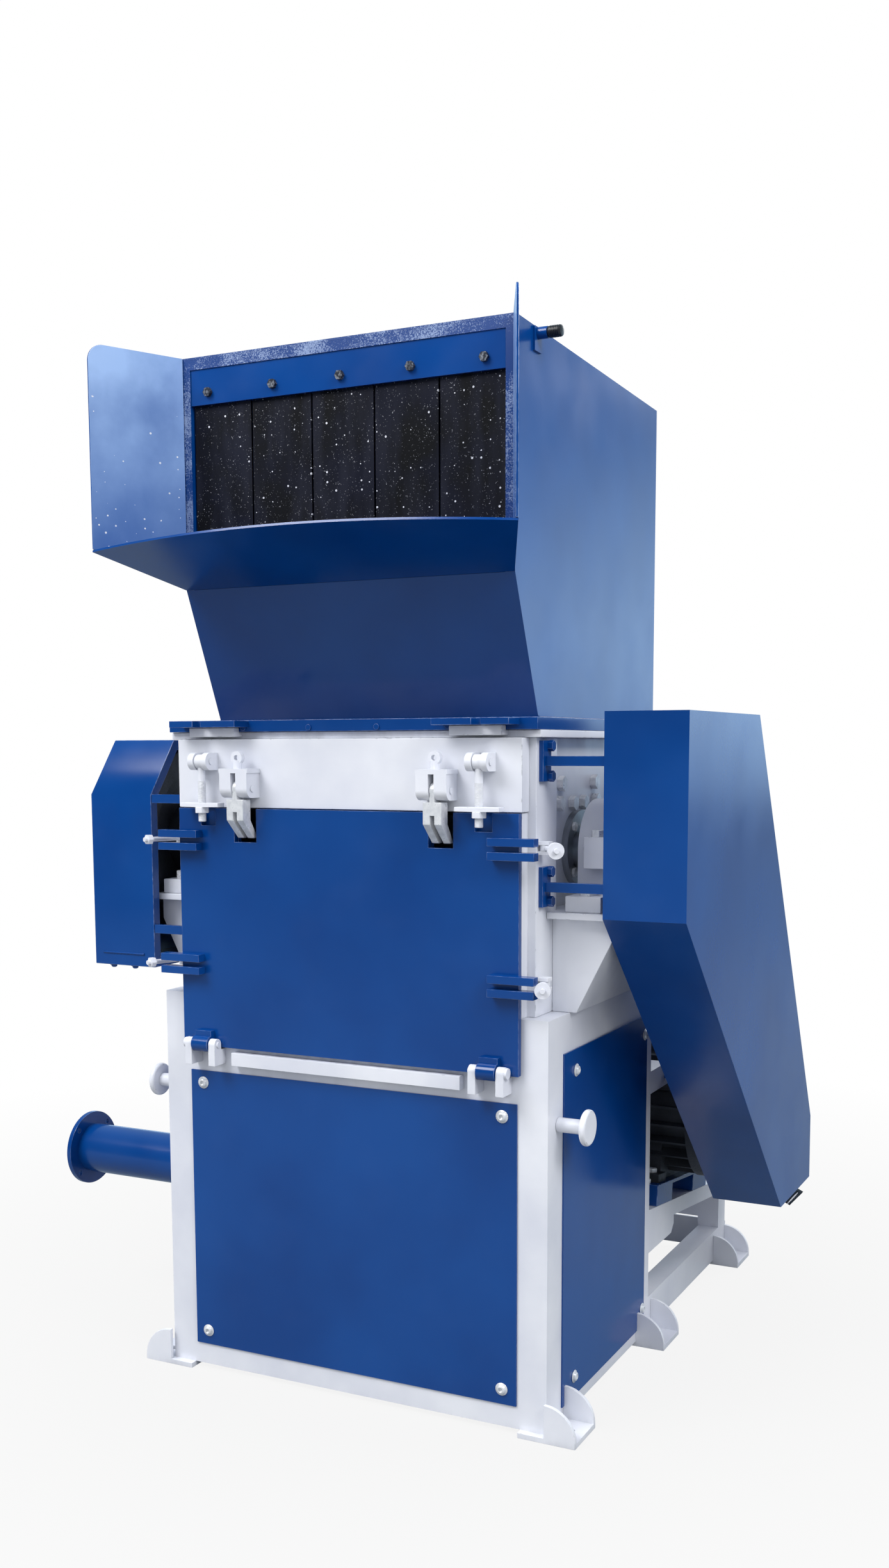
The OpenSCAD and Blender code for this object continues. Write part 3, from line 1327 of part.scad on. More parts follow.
// Plate and sleeve of the latch, welded on the right side of the shell
module latch_body() difference() {
    union() {
        span([hopper_hw, latch_y - latch_w / 2, latch_z - latch_w],
            [hopper_hw + hopper_t, latch_y + latch_w / 2, latch_z + latch_w / 3]);
        translate([0, latch_y, latch_z]) rod_x(hopper_hw, latch_out, knob_d);
    }
    translate([0, latch_y, latch_z]) rod_x(hopper_hw, latch_out + cut, plunger_d + 2 * pin_gap);
}

module latch_knob() color(black) at_front() translate([0, latch_y, latch_z]) {
    rod_x(hopper_hw + loose, latch_out + loose, plunger_d);
    rod_x(hopper_hw + latch_out + loose, knob_len, knob_d);
}

// Guards: folded and welded sheet boxes

guard_d = 440;
guard_kink = 925;
guard_heel_y = 993;
guard_heel_z = 391;
guard_floor = 250;
guard_toe_y = 737;
guard_pts = [[guard_y, guard_top], [guard_y, guard_kink], [guard_toe_y, guard_floor], [guard_heel_y + guard_t, guard_floor], [guard_heel_y, guard_heel_z],
    [guard_y + guard_d, guard_top]];
shaft_pass_d = 150;
motor_pass_d = 110;

module belt_guard() color(blue) at_front() {
    along_x(guard_x, guard_w) rim(guard_pts, guard_t);
    along_x(guard_x + guard_w - guard_t, guard_t) polygon(guard_pts);
    difference() {
        along_x(guard_x, guard_t) polygon(guard_pts);
        translate([0, rotor_y, rotor_z]) rod_x(guard_x - cut, guard_t + 2 * cut, shaft_pass_d);
        translate([0, motor_y, motor_zc]) rod_x(guard_x - cut, guard_t + 2 * cut, motor_pass_d);
    }
}

fly_top = 1232;
fly_face = 1125;
fly_chamfer = 80;
fly_bottom = 785;
fly_pts = [[guard_y, fly_face], [guard_y, fly_bottom], [guard_y + guard_d, fly_bottom],
    [guard_y + guard_d, fly_top], [guard_y + fly_chamfer, fly_top]];
fly_return = 20;

module flywheel_guard() color(blue) at_front() mirror([1, 0, 0]) {
    along_x(fly_guard_x, guard_w) rim(fly_pts, guard_t);
    along_x(fly_guard_x + guard_w - guard_t, guard_t) polygon(fly_pts);
    along_x(fly_guard_x, guard_t) rim(fly_pts, fly_return);
}

arm_plate_y = 34;
arm_plate_d = 36;
arm_plate_t = 8;
arm_plate_h = 70;
arm_t = 12;
arm_h = 17;
arm_z_hi = 1192;
arm_z_lo = 976;
arm_in = 2;
arm_bolt_in = 9;
arm_bolt_h = 9;
arm_bolt_af = 17;
fly_arm_hi = 1118;
fly_arm_lo = 862;
fly_plate_h = 52;

// Arm at height z from the column's foot plate to the guard's inner face at x
module guard_arm(x, z, tall) {
    span([column_hw, arm_plate_y, z - tall / 2], [column_hw + arm_plate_t, arm_plate_y + arm_plate_d, z + tall / 2]);
    span([column_hw, guard_y + arm_in, z - arm_h / 2], [x, guard_y + arm_in + arm_t, z + arm_h / 2]);
    for (s = [-1, 1])
        translate([0, arm_plate_y + arm_plate_d - arm_bolt_in, z + s * (tall / 2 - arm_bolt_in)])
            hex_x(column_hw + arm_plate_t, arm_bolt_h, arm_bolt_af);
}

module guard_arms() color(blue) at_front() {
    guard_arm(guard_x, arm_z_hi, arm_plate_h);
    guard_arm(guard_x, arm_z_lo, arm_plate_h);
    mirror([1, 0, 0]) for (z = [fly_arm_hi, fly_arm_lo]) guard_arm(fly_guard_x, z, fly_plate_h);
    span([hw, base_d + stay_len - 2 * arm_t, stay_z + stay_h / 3],
        [guard_x, base_d + stay_len - arm_t, stay_z + stay_h / 3 + arm_h]);
}

base_frame();
foot_pads();
front_panel();
bay_panels();
panel_screws();
lifting_pegs();
suction_box();
outlet_pipe();
motor_rails();
motor_slide_base();
motor_frame();
motor_fan_cover();
motor_shaft();
motor_pulley();
v_belts();
motor_bolts();
chamber_side_right();
chamber_side_left();
chamber_rear_wall();
crossmember();
top_plate();
bed_knives();
screen();
screen_cradle();
chamber_bolts();
bearing_brackets();
bearing_housings();
shaft_seals();
rotor_shaft();
rotor_body();
rotor_knives();
flywheel();
rotor_pulley();
front_door();
door_seat();
door_hinge();
clamp_lugs();
hold_down_left();
hold_down_right();
hook_clamp_left();
hook_clamp_right();
side_bolt_left_upper();
side_bolt_left_lower();
side_bolt_right_upper();
side_bolt_right_lower();
hopper_shell();
hopper_flange();
feed_tray();
feed_wings();
curtain_retainer();
curtain_strip_1();
curtain_strip_2();
curtain_strip_3();
curtain_strip_4();
curtain_strip_5();
hopper_hinge();
latch_knob();
belt_guard();
flywheel_guard();
guard_arms();
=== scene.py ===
# A plastic granulator: a welded white base with blue panels, a cutting chamber with a clamped front door,
# a sheet steel hopper with a rubber curtain, and folded guards over the belt drive and the flywheel.
import json
import math
import random

import bmesh
import bpy
from mathutils import Matrix, Vector

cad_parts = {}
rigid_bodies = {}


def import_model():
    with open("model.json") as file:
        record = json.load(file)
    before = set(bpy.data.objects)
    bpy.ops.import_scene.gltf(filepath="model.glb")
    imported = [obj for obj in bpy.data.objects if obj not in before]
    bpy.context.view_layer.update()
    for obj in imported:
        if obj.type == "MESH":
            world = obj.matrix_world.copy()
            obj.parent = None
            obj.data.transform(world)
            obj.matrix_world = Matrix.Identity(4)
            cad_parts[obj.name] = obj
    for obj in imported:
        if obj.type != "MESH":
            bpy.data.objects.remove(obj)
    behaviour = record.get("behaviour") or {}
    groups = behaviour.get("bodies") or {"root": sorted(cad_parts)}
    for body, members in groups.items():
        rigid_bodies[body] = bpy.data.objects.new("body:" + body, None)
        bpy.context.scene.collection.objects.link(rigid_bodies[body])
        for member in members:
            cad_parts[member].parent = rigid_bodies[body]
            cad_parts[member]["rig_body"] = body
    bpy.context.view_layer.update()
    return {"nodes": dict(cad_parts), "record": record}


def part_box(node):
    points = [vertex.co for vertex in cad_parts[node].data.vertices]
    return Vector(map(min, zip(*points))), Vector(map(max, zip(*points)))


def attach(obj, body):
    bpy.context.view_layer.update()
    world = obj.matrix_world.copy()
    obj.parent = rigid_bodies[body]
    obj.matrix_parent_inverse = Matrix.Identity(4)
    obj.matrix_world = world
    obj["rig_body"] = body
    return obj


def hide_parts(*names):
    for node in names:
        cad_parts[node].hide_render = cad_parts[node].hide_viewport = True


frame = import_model()

# Base frame, feet and lifting pegs. Angle posts, channel rails and flat bars of mild steel, welded, then
# sprayed with white enamel that rounds every edge. Six feet of plate with round gussets, two turned pegs.


def linear(code):
    """A paint's sRGB hex as the linear colour that a shader takes."""
    shares = [int(code[i:i + 2], 16) / 255 for i in (1, 3, 5)]
    return tuple(s / 12.92 if s <= 0.04045 else ((s + 0.055) / 1.055) ** 2.4 for s in shares) + (1.0,)


def add(tree, kind, inputs=None, **settings):
    """Adds one node with its settings, values and links, and gives it back."""
    node = tree.nodes.new(kind)
    for key, value in settings.items():
        setattr(node, key, value)
    for key, value in (inputs or {}).items():
        if isinstance(value, bpy.types.NodeSocket):
            tree.links.new(value, node.inputs[key])
        else:
            node.inputs[key].default_value = value
    return node


def coated(name, paint):
    """A new finish, whose nodes paint lays out from the piece's own coordinates."""
    finish = bpy.data.materials.new(name)
    finish.use_nodes = True
    tree = finish.node_tree
    tree.nodes.clear()
    place = add(tree, "ShaderNodeTexCoord").outputs["Object"]
    add(tree, "ShaderNodeOutputMaterial", {"Surface": paint(tree, place).outputs[0]})
    return finish


def white_enamel_paint(tree, place):
    # Alkyd enamel, sprayed: faint clouds, runs, painted shade that greys the corners and creases in patches, and
    # chips that show grey steel at edges
    clouds = add(tree, "ShaderNodeTexNoise", {"Vector": place, "Scale": 5.0, "Detail": 4.0}).outputs[0]
    soft = add(tree, "ShaderNodeMapRange", {"Value": clouds, "From Min": 0.35, "From Max": 0.65}).outputs[0]
    tone = add(tree, "ShaderNodeMix", {0: soft, 6: linear("#dadde8"), 7: linear("#eceef5")}, data_type="RGBA")
    long = add(tree, "ShaderNodeMapping", {"Vector": place, "Scale": (34.0, 34.0, 6.0)}).outputs[0]
    runs = add(tree, "ShaderNodeTexNoise", {"Vector": long, "Scale": 1.0, "Detail": 6.0}).outputs[0]
    # Painted shade: an occlusion mask greys the creases and corners, broken into patches by the runs
    open_air = add(tree, "ShaderNodeAmbientOcclusion", {"Distance": 0.025}, samples=4).outputs["AO"]
    crease = add(tree, "ShaderNodeMapRange", {"Value": open_air, "From Min": 0.8, "From Max": 0.3}).outputs[0]
    patch = add(tree, "ShaderNodeMapRange", {"Value": runs, "From Min": 0.35, "From Max": 0.75,
                                             "To Max": 0.6}).outputs[0]
    crease_shade = add(tree, "ShaderNodeMath", {0: crease, 1: patch}, operation="MULTIPLY").outputs[0]
    crease_shaded = add(tree, "ShaderNodeMix", {0: crease_shade, 6: tone.outputs[2], 7: linear("#85878c")}, data_type="RGBA")
    # Chips of 5 to 15 mm along the rounded edges
    chips = add(tree, "ShaderNodeTexNoise", {"Vector": place, "Scale": 70.0, "Detail": 8.0}).outputs[0]
    bare = add(tree, "ShaderNodeMapRange", {"Value": chips, "From Min": 0.58, "From Max": 0.66,
                                            "To Max": 0.6}).outputs[0]
    rim = add(tree, "ShaderNodeAttribute", attribute_name="rim").outputs["Fac"]
    worn = add(tree, "ShaderNodeMath", {0: rim, 1: bare}, operation="MULTIPLY").outputs[0]
    seen = add(tree, "ShaderNodeMix", {0: worn, 6: crease_shaded.outputs[2], 7: linear("#7d8088")}, data_type="RGBA")
    # Orange peel of about 4 mm, a little coarser than real so that it shows
    peel = add(tree, "ShaderNodeTexNoise", {"Vector": place, "Scale": 240.0, "Detail": 2.0}).outputs[0]
    bump = add(tree, "ShaderNodeBump", {"Height": peel, "Strength": 0.15, "Distance": 0.0006}).outputs[0]
    rough = add(tree, "ShaderNodeMapRange", {"Value": runs, "From Min": 0.3, "From Max": 0.7,
                                             "To Min": 0.28, "To Max": 0.45}).outputs[0]
    return add(tree, "ShaderNodeBsdfPrincipled", {"Base Color": seen.outputs[2], "Roughness": rough,
                                                  "Normal": bump})


white_enamel = coated("white_enamel", white_enamel_paint)
SLOTS = {s["node"]: s["material_slot"] for s in frame["record"]["subparts"]}


def placed(name, mesh, finish, body, slot, *nodes):
    """Makes a mesh a piece that rides a body, takes the given finish and stands for the CAD parts it names. The
    slot is not used.
    """
    piece = bpy.data.objects.new(name, bpy.data.meshes.new(name))
    mesh.to_mesh(piece.data)
    mesh.free()
    bpy.context.scene.collection.objects.link(piece)
    piece.data.materials.append(finish)
    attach(piece, body)
    if nodes:
        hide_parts(*nodes)
    return piece


def edged(mesh, edge):
    """Rounds the sharp outer edges by edge metres, marks their crest, and keeps the inner corners sharp."""
    corner = math.radians(38.0)
    bmesh.ops.remove_doubles(mesh, verts=mesh.verts, dist=1e-6)
    bmesh.ops.dissolve_limit(mesh, angle_limit=math.radians(0.4), verts=mesh.verts, edges=mesh.edges)
    rim = mesh.verts.layers.float.new("rim")
    rounded = mesh.faces.layers.int.new("rounded")
    sharp = [e for e in mesh.edges if e.is_manifold and e.is_convex and e.calc_face_angle(0.0) > corner]
    made = bmesh.ops.bevel(mesh, geom=sharp, offset=edge, offset_type="OFFSET", segments=2, profile=0.5,
                           affect="EDGES", clamp_overlap=True, material=-1)
    for face in made["faces"]:
        face[rounded] = 1
    # Where two roundings meet, the bevel leaves faces of no area: these points are merged
    bmesh.ops.remove_doubles(mesh, verts=mesh.verts, dist=1e-5)
    for vert in mesh.verts:
        vert[rim] = float(all(face[rounded] for face in vert.link_faces))
    mesh.faces.layers.int.remove(rounded)
    for line in mesh.edges:
        line.smooth = line.calc_face_angle(0.0) < corner
    for face in mesh.faces:
        face.smooth = True


def dressed(node, edge, finish):
    """A painted copy of a CAD part, with its edges rounded as folding and paint leave them."""
    mesh = bmesh.new()
    mesh.from_mesh(frame["nodes"][node].data)
    edged(mesh, edge)
    piece = placed(node + "_piece", mesh, finish, frame["nodes"][node]["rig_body"], SLOTS[node], node)
    piece.modifiers.new("flat_faces", "WEIGHTED_NORMAL").keep_sharp = True
    return piece


for node in ("base_frame", "foot_pads", "lifting_pegs"):
    dressed(node, 0.0015, white_enamel)

# Panels, outlet pipe and their screws. Sheet steel and tube with glossy blue stove enamel, even and deep,
# held by plated screws with a domed head, a hexagon socket and a flat washer.


def blue_enamel_paint(tree, place):
    # Stove enamel: deep gloss, slightly wavy sheet, orange peel, fine dust, and pale crests where it is rubbed
    clouds = add(tree, "ShaderNodeTexNoise", {"Vector": place, "Scale": 3.0, "Detail": 3.0}).outputs[0]
    soft = add(tree, "ShaderNodeMapRange", {"Value": clouds, "From Min": 0.35, "From Max": 0.65}).outputs[0]
    tone = add(tree, "ShaderNodeMix", {0: soft, 6: linear("#003a80"), 7: linear("#05458f")}, data_type="RGBA")
    smears = add(tree, "ShaderNodeTexNoise", {"Vector": place, "Scale": 9.0, "Detail": 8.0}).outputs[0]
    dust = add(tree, "ShaderNodeMapRange", {"Value": smears, "From Min": 0.55, "From Max": 0.85,
                                            "To Max": 0.02}).outputs[0]
    dusty = add(tree, "ShaderNodeMix", {0: dust, 6: tone.outputs[2], 7: linear("#6f8fc4")}, data_type="RGBA")
    chips = add(tree, "ShaderNodeTexNoise", {"Vector": place, "Scale": 70.0, "Detail": 8.0}).outputs[0]
    bare = add(tree, "ShaderNodeMapRange", {"Value": chips, "From Min": 0.42, "From Max": 0.65,
                                            "To Min": 0.15, "To Max": 0.9}).outputs[0]
    rim = add(tree, "ShaderNodeAttribute", attribute_name="rim").outputs["Fac"]
    worn = add(tree, "ShaderNodeMath", {0: rim, 1: bare}, operation="MULTIPLY").outputs[0]
    seen = add(tree, "ShaderNodeMix", {0: worn, 6: dusty.outputs[2], 7: linear("#8ea4cc")}, data_type="RGBA")
    sheet = add(tree, "ShaderNodeTexNoise", {"Vector": place, "Scale": 4.5, "Detail": 1.0}).outputs[0]
    wave = add(tree, "ShaderNodeBump", {"Height": sheet, "Strength": 0.35, "Distance": 0.004}).outputs[0]
    peel = add(tree, "ShaderNodeTexNoise", {"Vector": place, "Scale": 220.0, "Detail": 2.0}).outputs[0]
    bump = add(tree, "ShaderNodeBump", {"Height": peel, "Strength": 0.08, "Distance": 0.0006,
                                        "Normal": wave}).outputs[0]
    rough = add(tree, "ShaderNodeMapRange", {"Value": smears, "From Min": 0.3, "From Max": 0.7,
                                             "To Min": 0.14, "To Max": 0.24}).outputs[0]
    return add(tree, "ShaderNodeBsdfPrincipled", {"Base Color": seen.outputs[2], "Roughness": rough,
                                                  "Normal": bump})


blue_enamel = coated("blue_enamel", blue_enamel_paint)
for node in ("front_panel", "bay_panels", "outlet_pipe"):
    dressed(node, 0.0012, blue_enamel)


def zinc_paint(tree, place):
    # Bright zinc plate, tumbled: cloudy grey patches of 10 mm and a fine grain
    clouds = add(tree, "ShaderNodeTexNoise", {"Vector": place, "Scale": 90.0, "Detail": 6.0}).outputs[0]
    soft = add(tree, "ShaderNodeMapRange", {"Value": clouds, "From Min": 0.38, "From Max": 0.68}).outputs[0]
    tone = add(tree, "ShaderNodeMix", {0: soft, 6: linear("#f1f2f4"), 7: linear("#d9dbdf")}, data_type="RGBA")
    rough = add(tree, "ShaderNodeMapRange", {"Value": clouds, "From Min": 0.3, "From Max": 0.7,
                                             "To Min": 0.25, "To Max": 0.5}).outputs[0]
    grain = add(tree, "ShaderNodeTexNoise", {"Vector": place, "Scale": 900.0, "Detail": 2.0}).outputs[0]
    bump = add(tree, "ShaderNodeBump", {"Height": grain, "Strength": 0.2, "Distance": 0.0003}).outputs[0]
    return add(tree, "ShaderNodeBsdfPrincipled", {"Base Color": tone.outputs[2], "Roughness": rough,
                                                  "Metallic": 0.3, "Normal": bump})


zinc_plate = coated("zinc_plate", zinc_paint)


def turned(mesh, profile, axis, centre, steps=24):
    """Spins a profile of (radius, height) pairs about an axis through centre into a closed turned part."""
    side = axis.orthogonal().normalized()
    verts = [mesh.verts.new(centre + side * r + axis * h) for r, h in profile]
    lines = [mesh.edges.new(pair) for pair in zip(verts, verts[1:])]
    bmesh.ops.spin(mesh, geom=verts + lines, cent=centre, axis=axis, angle=2 * math.pi, steps=steps,
                   use_merge=True)
    bmesh.ops.remove_doubles(mesh, verts=mesh.verts, dist=1e-6)
    bmesh.ops.recalc_face_normals(mesh, faces=mesh.faces)


def socket_screw(mesh, face, axis, head=0.0085):
    """A domed screw head with a socket, on a washer: the socket is a round well in the dome."""
    dome = [(0.0, 0.0003), (head * 1.35, 0.0003), (head * 1.4, 0.0008), (head * 1.35, 0.0016), (head, 0.0018),
            (head, 0.0035), (head * 0.9, 0.0052), (head * 0.62, 0.0064), (head * 0.5, 0.0066),
            (head * 0.47, 0.0035), (0.0, 0.0035)]
    turned(mesh, dome, axis, face, 18)


def centres(node):
    """The middle and the lowest and highest corners of each loose solid of a CAD part."""
    mesh = bmesh.new()
    mesh.from_mesh(frame["nodes"][node].data)
    bmesh.ops.remove_doubles(mesh, verts=mesh.verts, dist=1e-6)
    todo = set(mesh.verts)
    found = []
    while todo:
        stack = [todo.pop()]
        points = []
        while stack:
            vert = stack.pop()
            points.append(vert.co.copy())
            for line in vert.link_edges:
                other = line.other_vert(vert)
                if other in todo:
                    todo.remove(other)
                    stack.append(other)
        low = Vector([min(p[i] for p in points) for i in range(3)])
        high = Vector([max(p[i] for p in points) for i in range(3)])
        found.append(((low + high) / 2, low, high))
    mesh.free()
    return sorted(found, key=lambda f: tuple(round(c, 4) for c in f[0]))


panel_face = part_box("front_panel")[0][1]
side_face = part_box("bay_panels")[1][0]
screws = bmesh.new()
post_inner = 0.36  # screws further out than this from the middle are on the side panels
for middle, low, high in centres("panel_screws"):
    if abs(middle[0]) > post_inner:
        out = math.copysign(1.0, middle[0])
        socket_screw(screws, Vector((out * side_face, middle[1], middle[2])), Vector((out, 0.0, 0.0)))
    else:
        socket_screw(screws, Vector((middle[0], panel_face, middle[2])), Vector((0.0, -1.0, 0.0)))
for face in screws.faces:
    face.smooth = True
placed("panel_screw_heads", screws, zinc_plate, "machine", "zinc_fasteners", "panel_screws")

# Motor bay: sloping rails, a slide base with its bolts, and the finned motor. The rails are white, the slide
# base is blue, and the motor is a grey iron casting under dark machine paint, with a ribbed fan cover.


def casting_paint(tree, place):
    # Sand cast iron, painted: grains of 2 to 4 mm under the paint, with dust lying on it
    grain = add(tree, "ShaderNodeTexNoise", {"Vector": place, "Scale": 280.0, "Detail": 5.0}).outputs[0]
    clouds = add(tree, "ShaderNodeTexNoise", {"Vector": place, "Scale": 14.0, "Detail": 6.0}).outputs[0]
    soft = add(tree, "ShaderNodeMapRange", {"Value": clouds, "From Min": 0.35, "From Max": 0.7}).outputs[0]
    tone = add(tree, "ShaderNodeMix", {0: soft, 6: linear("#1d2025"), 7: linear("#3b3f47")}, data_type="RGBA")
    rough = add(tree, "ShaderNodeMapRange", {"Value": grain, "From Min": 0.3, "From Max": 0.7,
                                             "To Min": 0.42, "To Max": 0.65}).outputs[0]
    bump = add(tree, "ShaderNodeBump", {"Height": grain, "Strength": 0.45, "Distance": 0.001}).outputs[0]
    return add(tree, "ShaderNodeBsdfPrincipled", {"Base Color": tone.outputs[2], "Roughness": rough,
                                                  "Normal": bump})


def ground_steel_paint(tree, place):
    # Tool steel off the grinder: bright, with grinding lines about 1 mm apart, drawn coarser than real
    lines = add(tree, "ShaderNodeMapping", {"Vector": place, "Scale": (900.0, 60.0, 60.0)}).outputs[0]
    grain = add(tree, "ShaderNodeTexNoise", {"Vector": lines, "Scale": 1.0, "Detail": 3.0}).outputs[0]
    tone = add(tree, "ShaderNodeMix", {0: grain, 6: linear("#8f9398"), 7: linear("#c2c5c9")}, data_type="RGBA")
    rough = add(tree, "ShaderNodeMapRange", {"Value": grain, "To Min": 0.25, "To Max": 0.45}).outputs[0]
    bump = add(tree, "ShaderNodeBump", {"Height": grain, "Strength": 0.15, "Distance": 0.0003}).outputs[0]
    return add(tree, "ShaderNodeBsdfPrincipled", {"Base Color": tone.outputs[2], "Roughness": rough,
                                                  "Metallic": 1.0, "Normal": bump})


painted_casting = coated("painted_casting", casting_paint)
ground_steel = coated("ground_steel", ground_steel_paint)
dressed("motor_rails", 0.0015, white_enamel)
dressed("motor_slide_base", 0.0015, blue_enamel)
dressed("motor_bolts", 0.0008, zinc_plate)


def finished(nodes, finish):
    """CAD parts whose shape is right get the finish of the real one."""
    for node in nodes:
        for held in frame["nodes"][node].material_slots:
            held.material = finish


finished(("motor_frame", "motor_fan_cover", "motor_pulley", "rotor_pulley", "flywheel"), painted_casting)
finished(("motor_shaft", "rotor_shaft", "shaft_seals"), ground_steel)

# Belts: four ribbed rubber V-belts between the pulleys, inside the guard.


def granules(tree, place, across, scale, kept):
    """Plastic granules of 2 to 6 mm stuck to a sheet that lies along an axis: a kept share of cells holds one."""
    along = add(tree, "ShaderNodeSeparateXYZ", {0: place})
    flat = add(tree, "ShaderNodeCombineXYZ", {0: along.outputs[across], 1: along.outputs[2]}).outputs[0]
    cells = add(tree, "ShaderNodeTexVoronoi", {"Vector": flat, "Scale": scale}, voronoi_dimensions="2D")
    dice = add(tree, "ShaderNodeSeparateColor", {0: cells.outputs["Color"]})
    size = add(tree, "ShaderNodeMapRange", {"Value": dice.outputs[1], "To Min": 0.02, "To Max": 0.12}).outputs[0]
    inside = add(tree, "ShaderNodeMath", {0: cells.outputs["Distance"], 1: size},
                 operation="LESS_THAN").outputs[0]
    chosen = add(tree, "ShaderNodeMath", {0: dice.outputs[0], 1: kept}, operation="LESS_THAN").outputs[0]
    return add(tree, "ShaderNodeMath", {0: inside, 1: chosen}, operation="MULTIPLY").outputs[0]


def rubber_paint(tree, place):
    # Calendered rubber sheet, matt black with a blue cast, grey smears that run down it, granules stuck to it
    clouds = add(tree, "ShaderNodeTexNoise", {"Vector": place, "Scale": 9.0, "Detail": 3.0}).outputs[0]
    long = add(tree, "ShaderNodeMapping", {"Vector": place, "Scale": (26.0, 26.0, 5.0)}).outputs[0]
    smears = add(tree, "ShaderNodeTexNoise", {"Vector": long, "Scale": 1.0, "Detail": 5.0}).outputs[0]
    soft = add(tree, "ShaderNodeMapRange", {"Value": clouds, "From Min": 0.4, "From Max": 0.6}).outputs[0]
    grey = add(tree, "ShaderNodeMapRange", {"Value": smears, "From Min": 0.44, "From Max": 0.62,
                                            "To Max": 0.75}).outputs[0]
    tone = add(tree, "ShaderNodeMix", {0: soft, 6: linear("#030409"), 7: linear("#070b1e")}, data_type="RGBA")
    smeared = add(tree, "ShaderNodeMix", {0: grey, 6: tone.outputs[2], 7: linear("#20222e")}, data_type="RGBA")
    grains = granules(tree, place, 0, 60.0, 0.22)
    specks = add(tree, "ShaderNodeTexNoise", {"Vector": place, "Scale": 420.0, "Detail": 1.0}).outputs[0]
    fine = add(tree, "ShaderNodeMapRange", {"Value": specks, "From Min": 0.7, "From Max": 0.76,
                                            "To Max": 0.4}).outputs[0]
    both = add(tree, "ShaderNodeMath", {0: grains, 1: fine}, operation="MAXIMUM").outputs[0]
    seen = add(tree, "ShaderNodeMix", {0: both, 6: smeared.outputs[2], 7: linear("#cfd0d6")}, data_type="RGBA")
    rough = add(tree, "ShaderNodeMapRange", {"Value": smears, "From Min": 0.3, "From Max": 0.7,
                                             "To Min": 0.5, "To Max": 0.8}).outputs[0]
    bump = add(tree, "ShaderNodeBump", {"Height": both, "Strength": 0.5, "Distance": 0.001}).outputs[0]
    return add(tree, "ShaderNodeBsdfPrincipled", {"Base Color": seen.outputs[2], "Roughness": rough,
                                                  "Specular IOR Level": 0.15, "Normal": bump})


speckled_rubber = coated("speckled_rubber", rubber_paint)
finished(("v_belts",), speckled_rubber)

# Cutting chamber: two thick welded sides, a front crossmember, a top plate, bearing brackets and housings,
# all in white enamel, and rows of hexagon bolts. Inside are the rotor, the knives and the screen.
for node in ("chamber_side_right", "chamber_side_left", "chamber_rear_wall", "crossmember", "top_plate",
             "bearing_brackets", "bearing_housings"):
    dressed(node, 0.0018, white_enamel)
dressed("chamber_bolts", 0.0009, zinc_plate)
finished(("bed_knives", "screen", "screen_cradle", "suction_box"), ground_steel)
finished(("rotor_knives",), zinc_plate)
finished(("rotor_body",), painted_casting)

# Front door and its hinge: thick blue plate with forks on its sides, hinged on blue knuckles between white
# cheeks, with a blue seat bar behind its top edge.
dressed("front_door", 0.0025, blue_enamel)
dressed("door_seat", 0.001, blue_enamel)
dressed("door_hinge", 0.0015, white_enamel)

# Clamps: white lugs on the crossmember, hook clamps with an eye screw, hold-down bolts with a T-bar and nut,
# and four swing bolts for the forks. Forged, plated or painted, with rolled threads 2 mm apart.
dressed("clamp_lugs", 0.0018, white_enamel)
for side in ("left", "right"):
    dressed("hook_clamp_" + side, 0.0016, zinc_plate)
    dressed("hold_down_" + side, 0.001, white_enamel)
    for level in ("upper", "lower"):
        dressed("side_bolt_" + side + "_" + level, 0.001, white_enamel)

# The hold-down bolts' rolled threads show above the T-bar and below the nut: rings every 2 mm, 0.5 mm deep.
thread_pitch = 0.002
core, root, crown = 0.0068, 0.0070, 0.0076
for side in ("left", "right"):
    low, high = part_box("hold_down_" + side)
    foot = Vector(((low[0] + high[0]) / 2, (low[1] + high[1]) / 2, 0.0))
    thread = bmesh.new()
    for z0, z1 in ((1.1155, 1.1555), (1.0805, 1.0955)):
        crest = [(0.0, z0), (core, z0)]
        for turn in range(int((z1 - z0) / thread_pitch)):
            at = z0 + thread_pitch * turn
            crest += [(root, at + 0.2 * thread_pitch), (crown, at + 0.5 * thread_pitch),
                      (root, at + 0.8 * thread_pitch)]
        turned(thread, crest + [(core, z1), (0.0, z1)], Vector((0.0, 0.0, 1.0)), foot, 20)
    placed("hold_down_thread_" + side, thread, zinc_plate, "hold_down_" + side, "zinc_fasteners")

# Hopper: a shell of 4 mm sheet welded to a bar flange, with a folded mouth frame whose front is scuffed by
# the plastic that is thrown in, a latch, and lug bars for the hold-down bolts.


def scuffed_enamel_paint(tree, place):
    # The same enamel, rubbed down to pale primer in specks of 2 to 6 mm
    rubbed = add(tree, "ShaderNodeTexNoise", {"Vector": place, "Scale": 480.0, "Detail": 5.0}).outputs[0]
    areas = add(tree, "ShaderNodeTexNoise", {"Vector": place, "Scale": 14.0, "Detail": 3.0}).outputs[0]
    level = add(tree, "ShaderNodeMath", {0: rubbed, 1: areas}, operation="ADD").outputs[0]
    share = add(tree, "ShaderNodeMapRange", {"Value": level, "From Min": 0.98, "From Max": 1.2,
                                             "To Max": 0.85}).outputs[0]
    tone = add(tree, "ShaderNodeMix", {0: share, 6: linear("#0c3c80"), 7: linear("#8fa3c8")}, data_type="RGBA")
    bump = add(tree, "ShaderNodeBump", {"Height": share, "Strength": 0.3, "Distance": 0.0008}).outputs[0]
    rough = add(tree, "ShaderNodeMapRange", {"Value": share, "To Min": 0.35, "To Max": 0.7}).outputs[0]
    return add(tree, "ShaderNodeBsdfPrincipled", {"Base Color": tone.outputs[2], "Roughness": rough,
                                                  "Normal": bump})


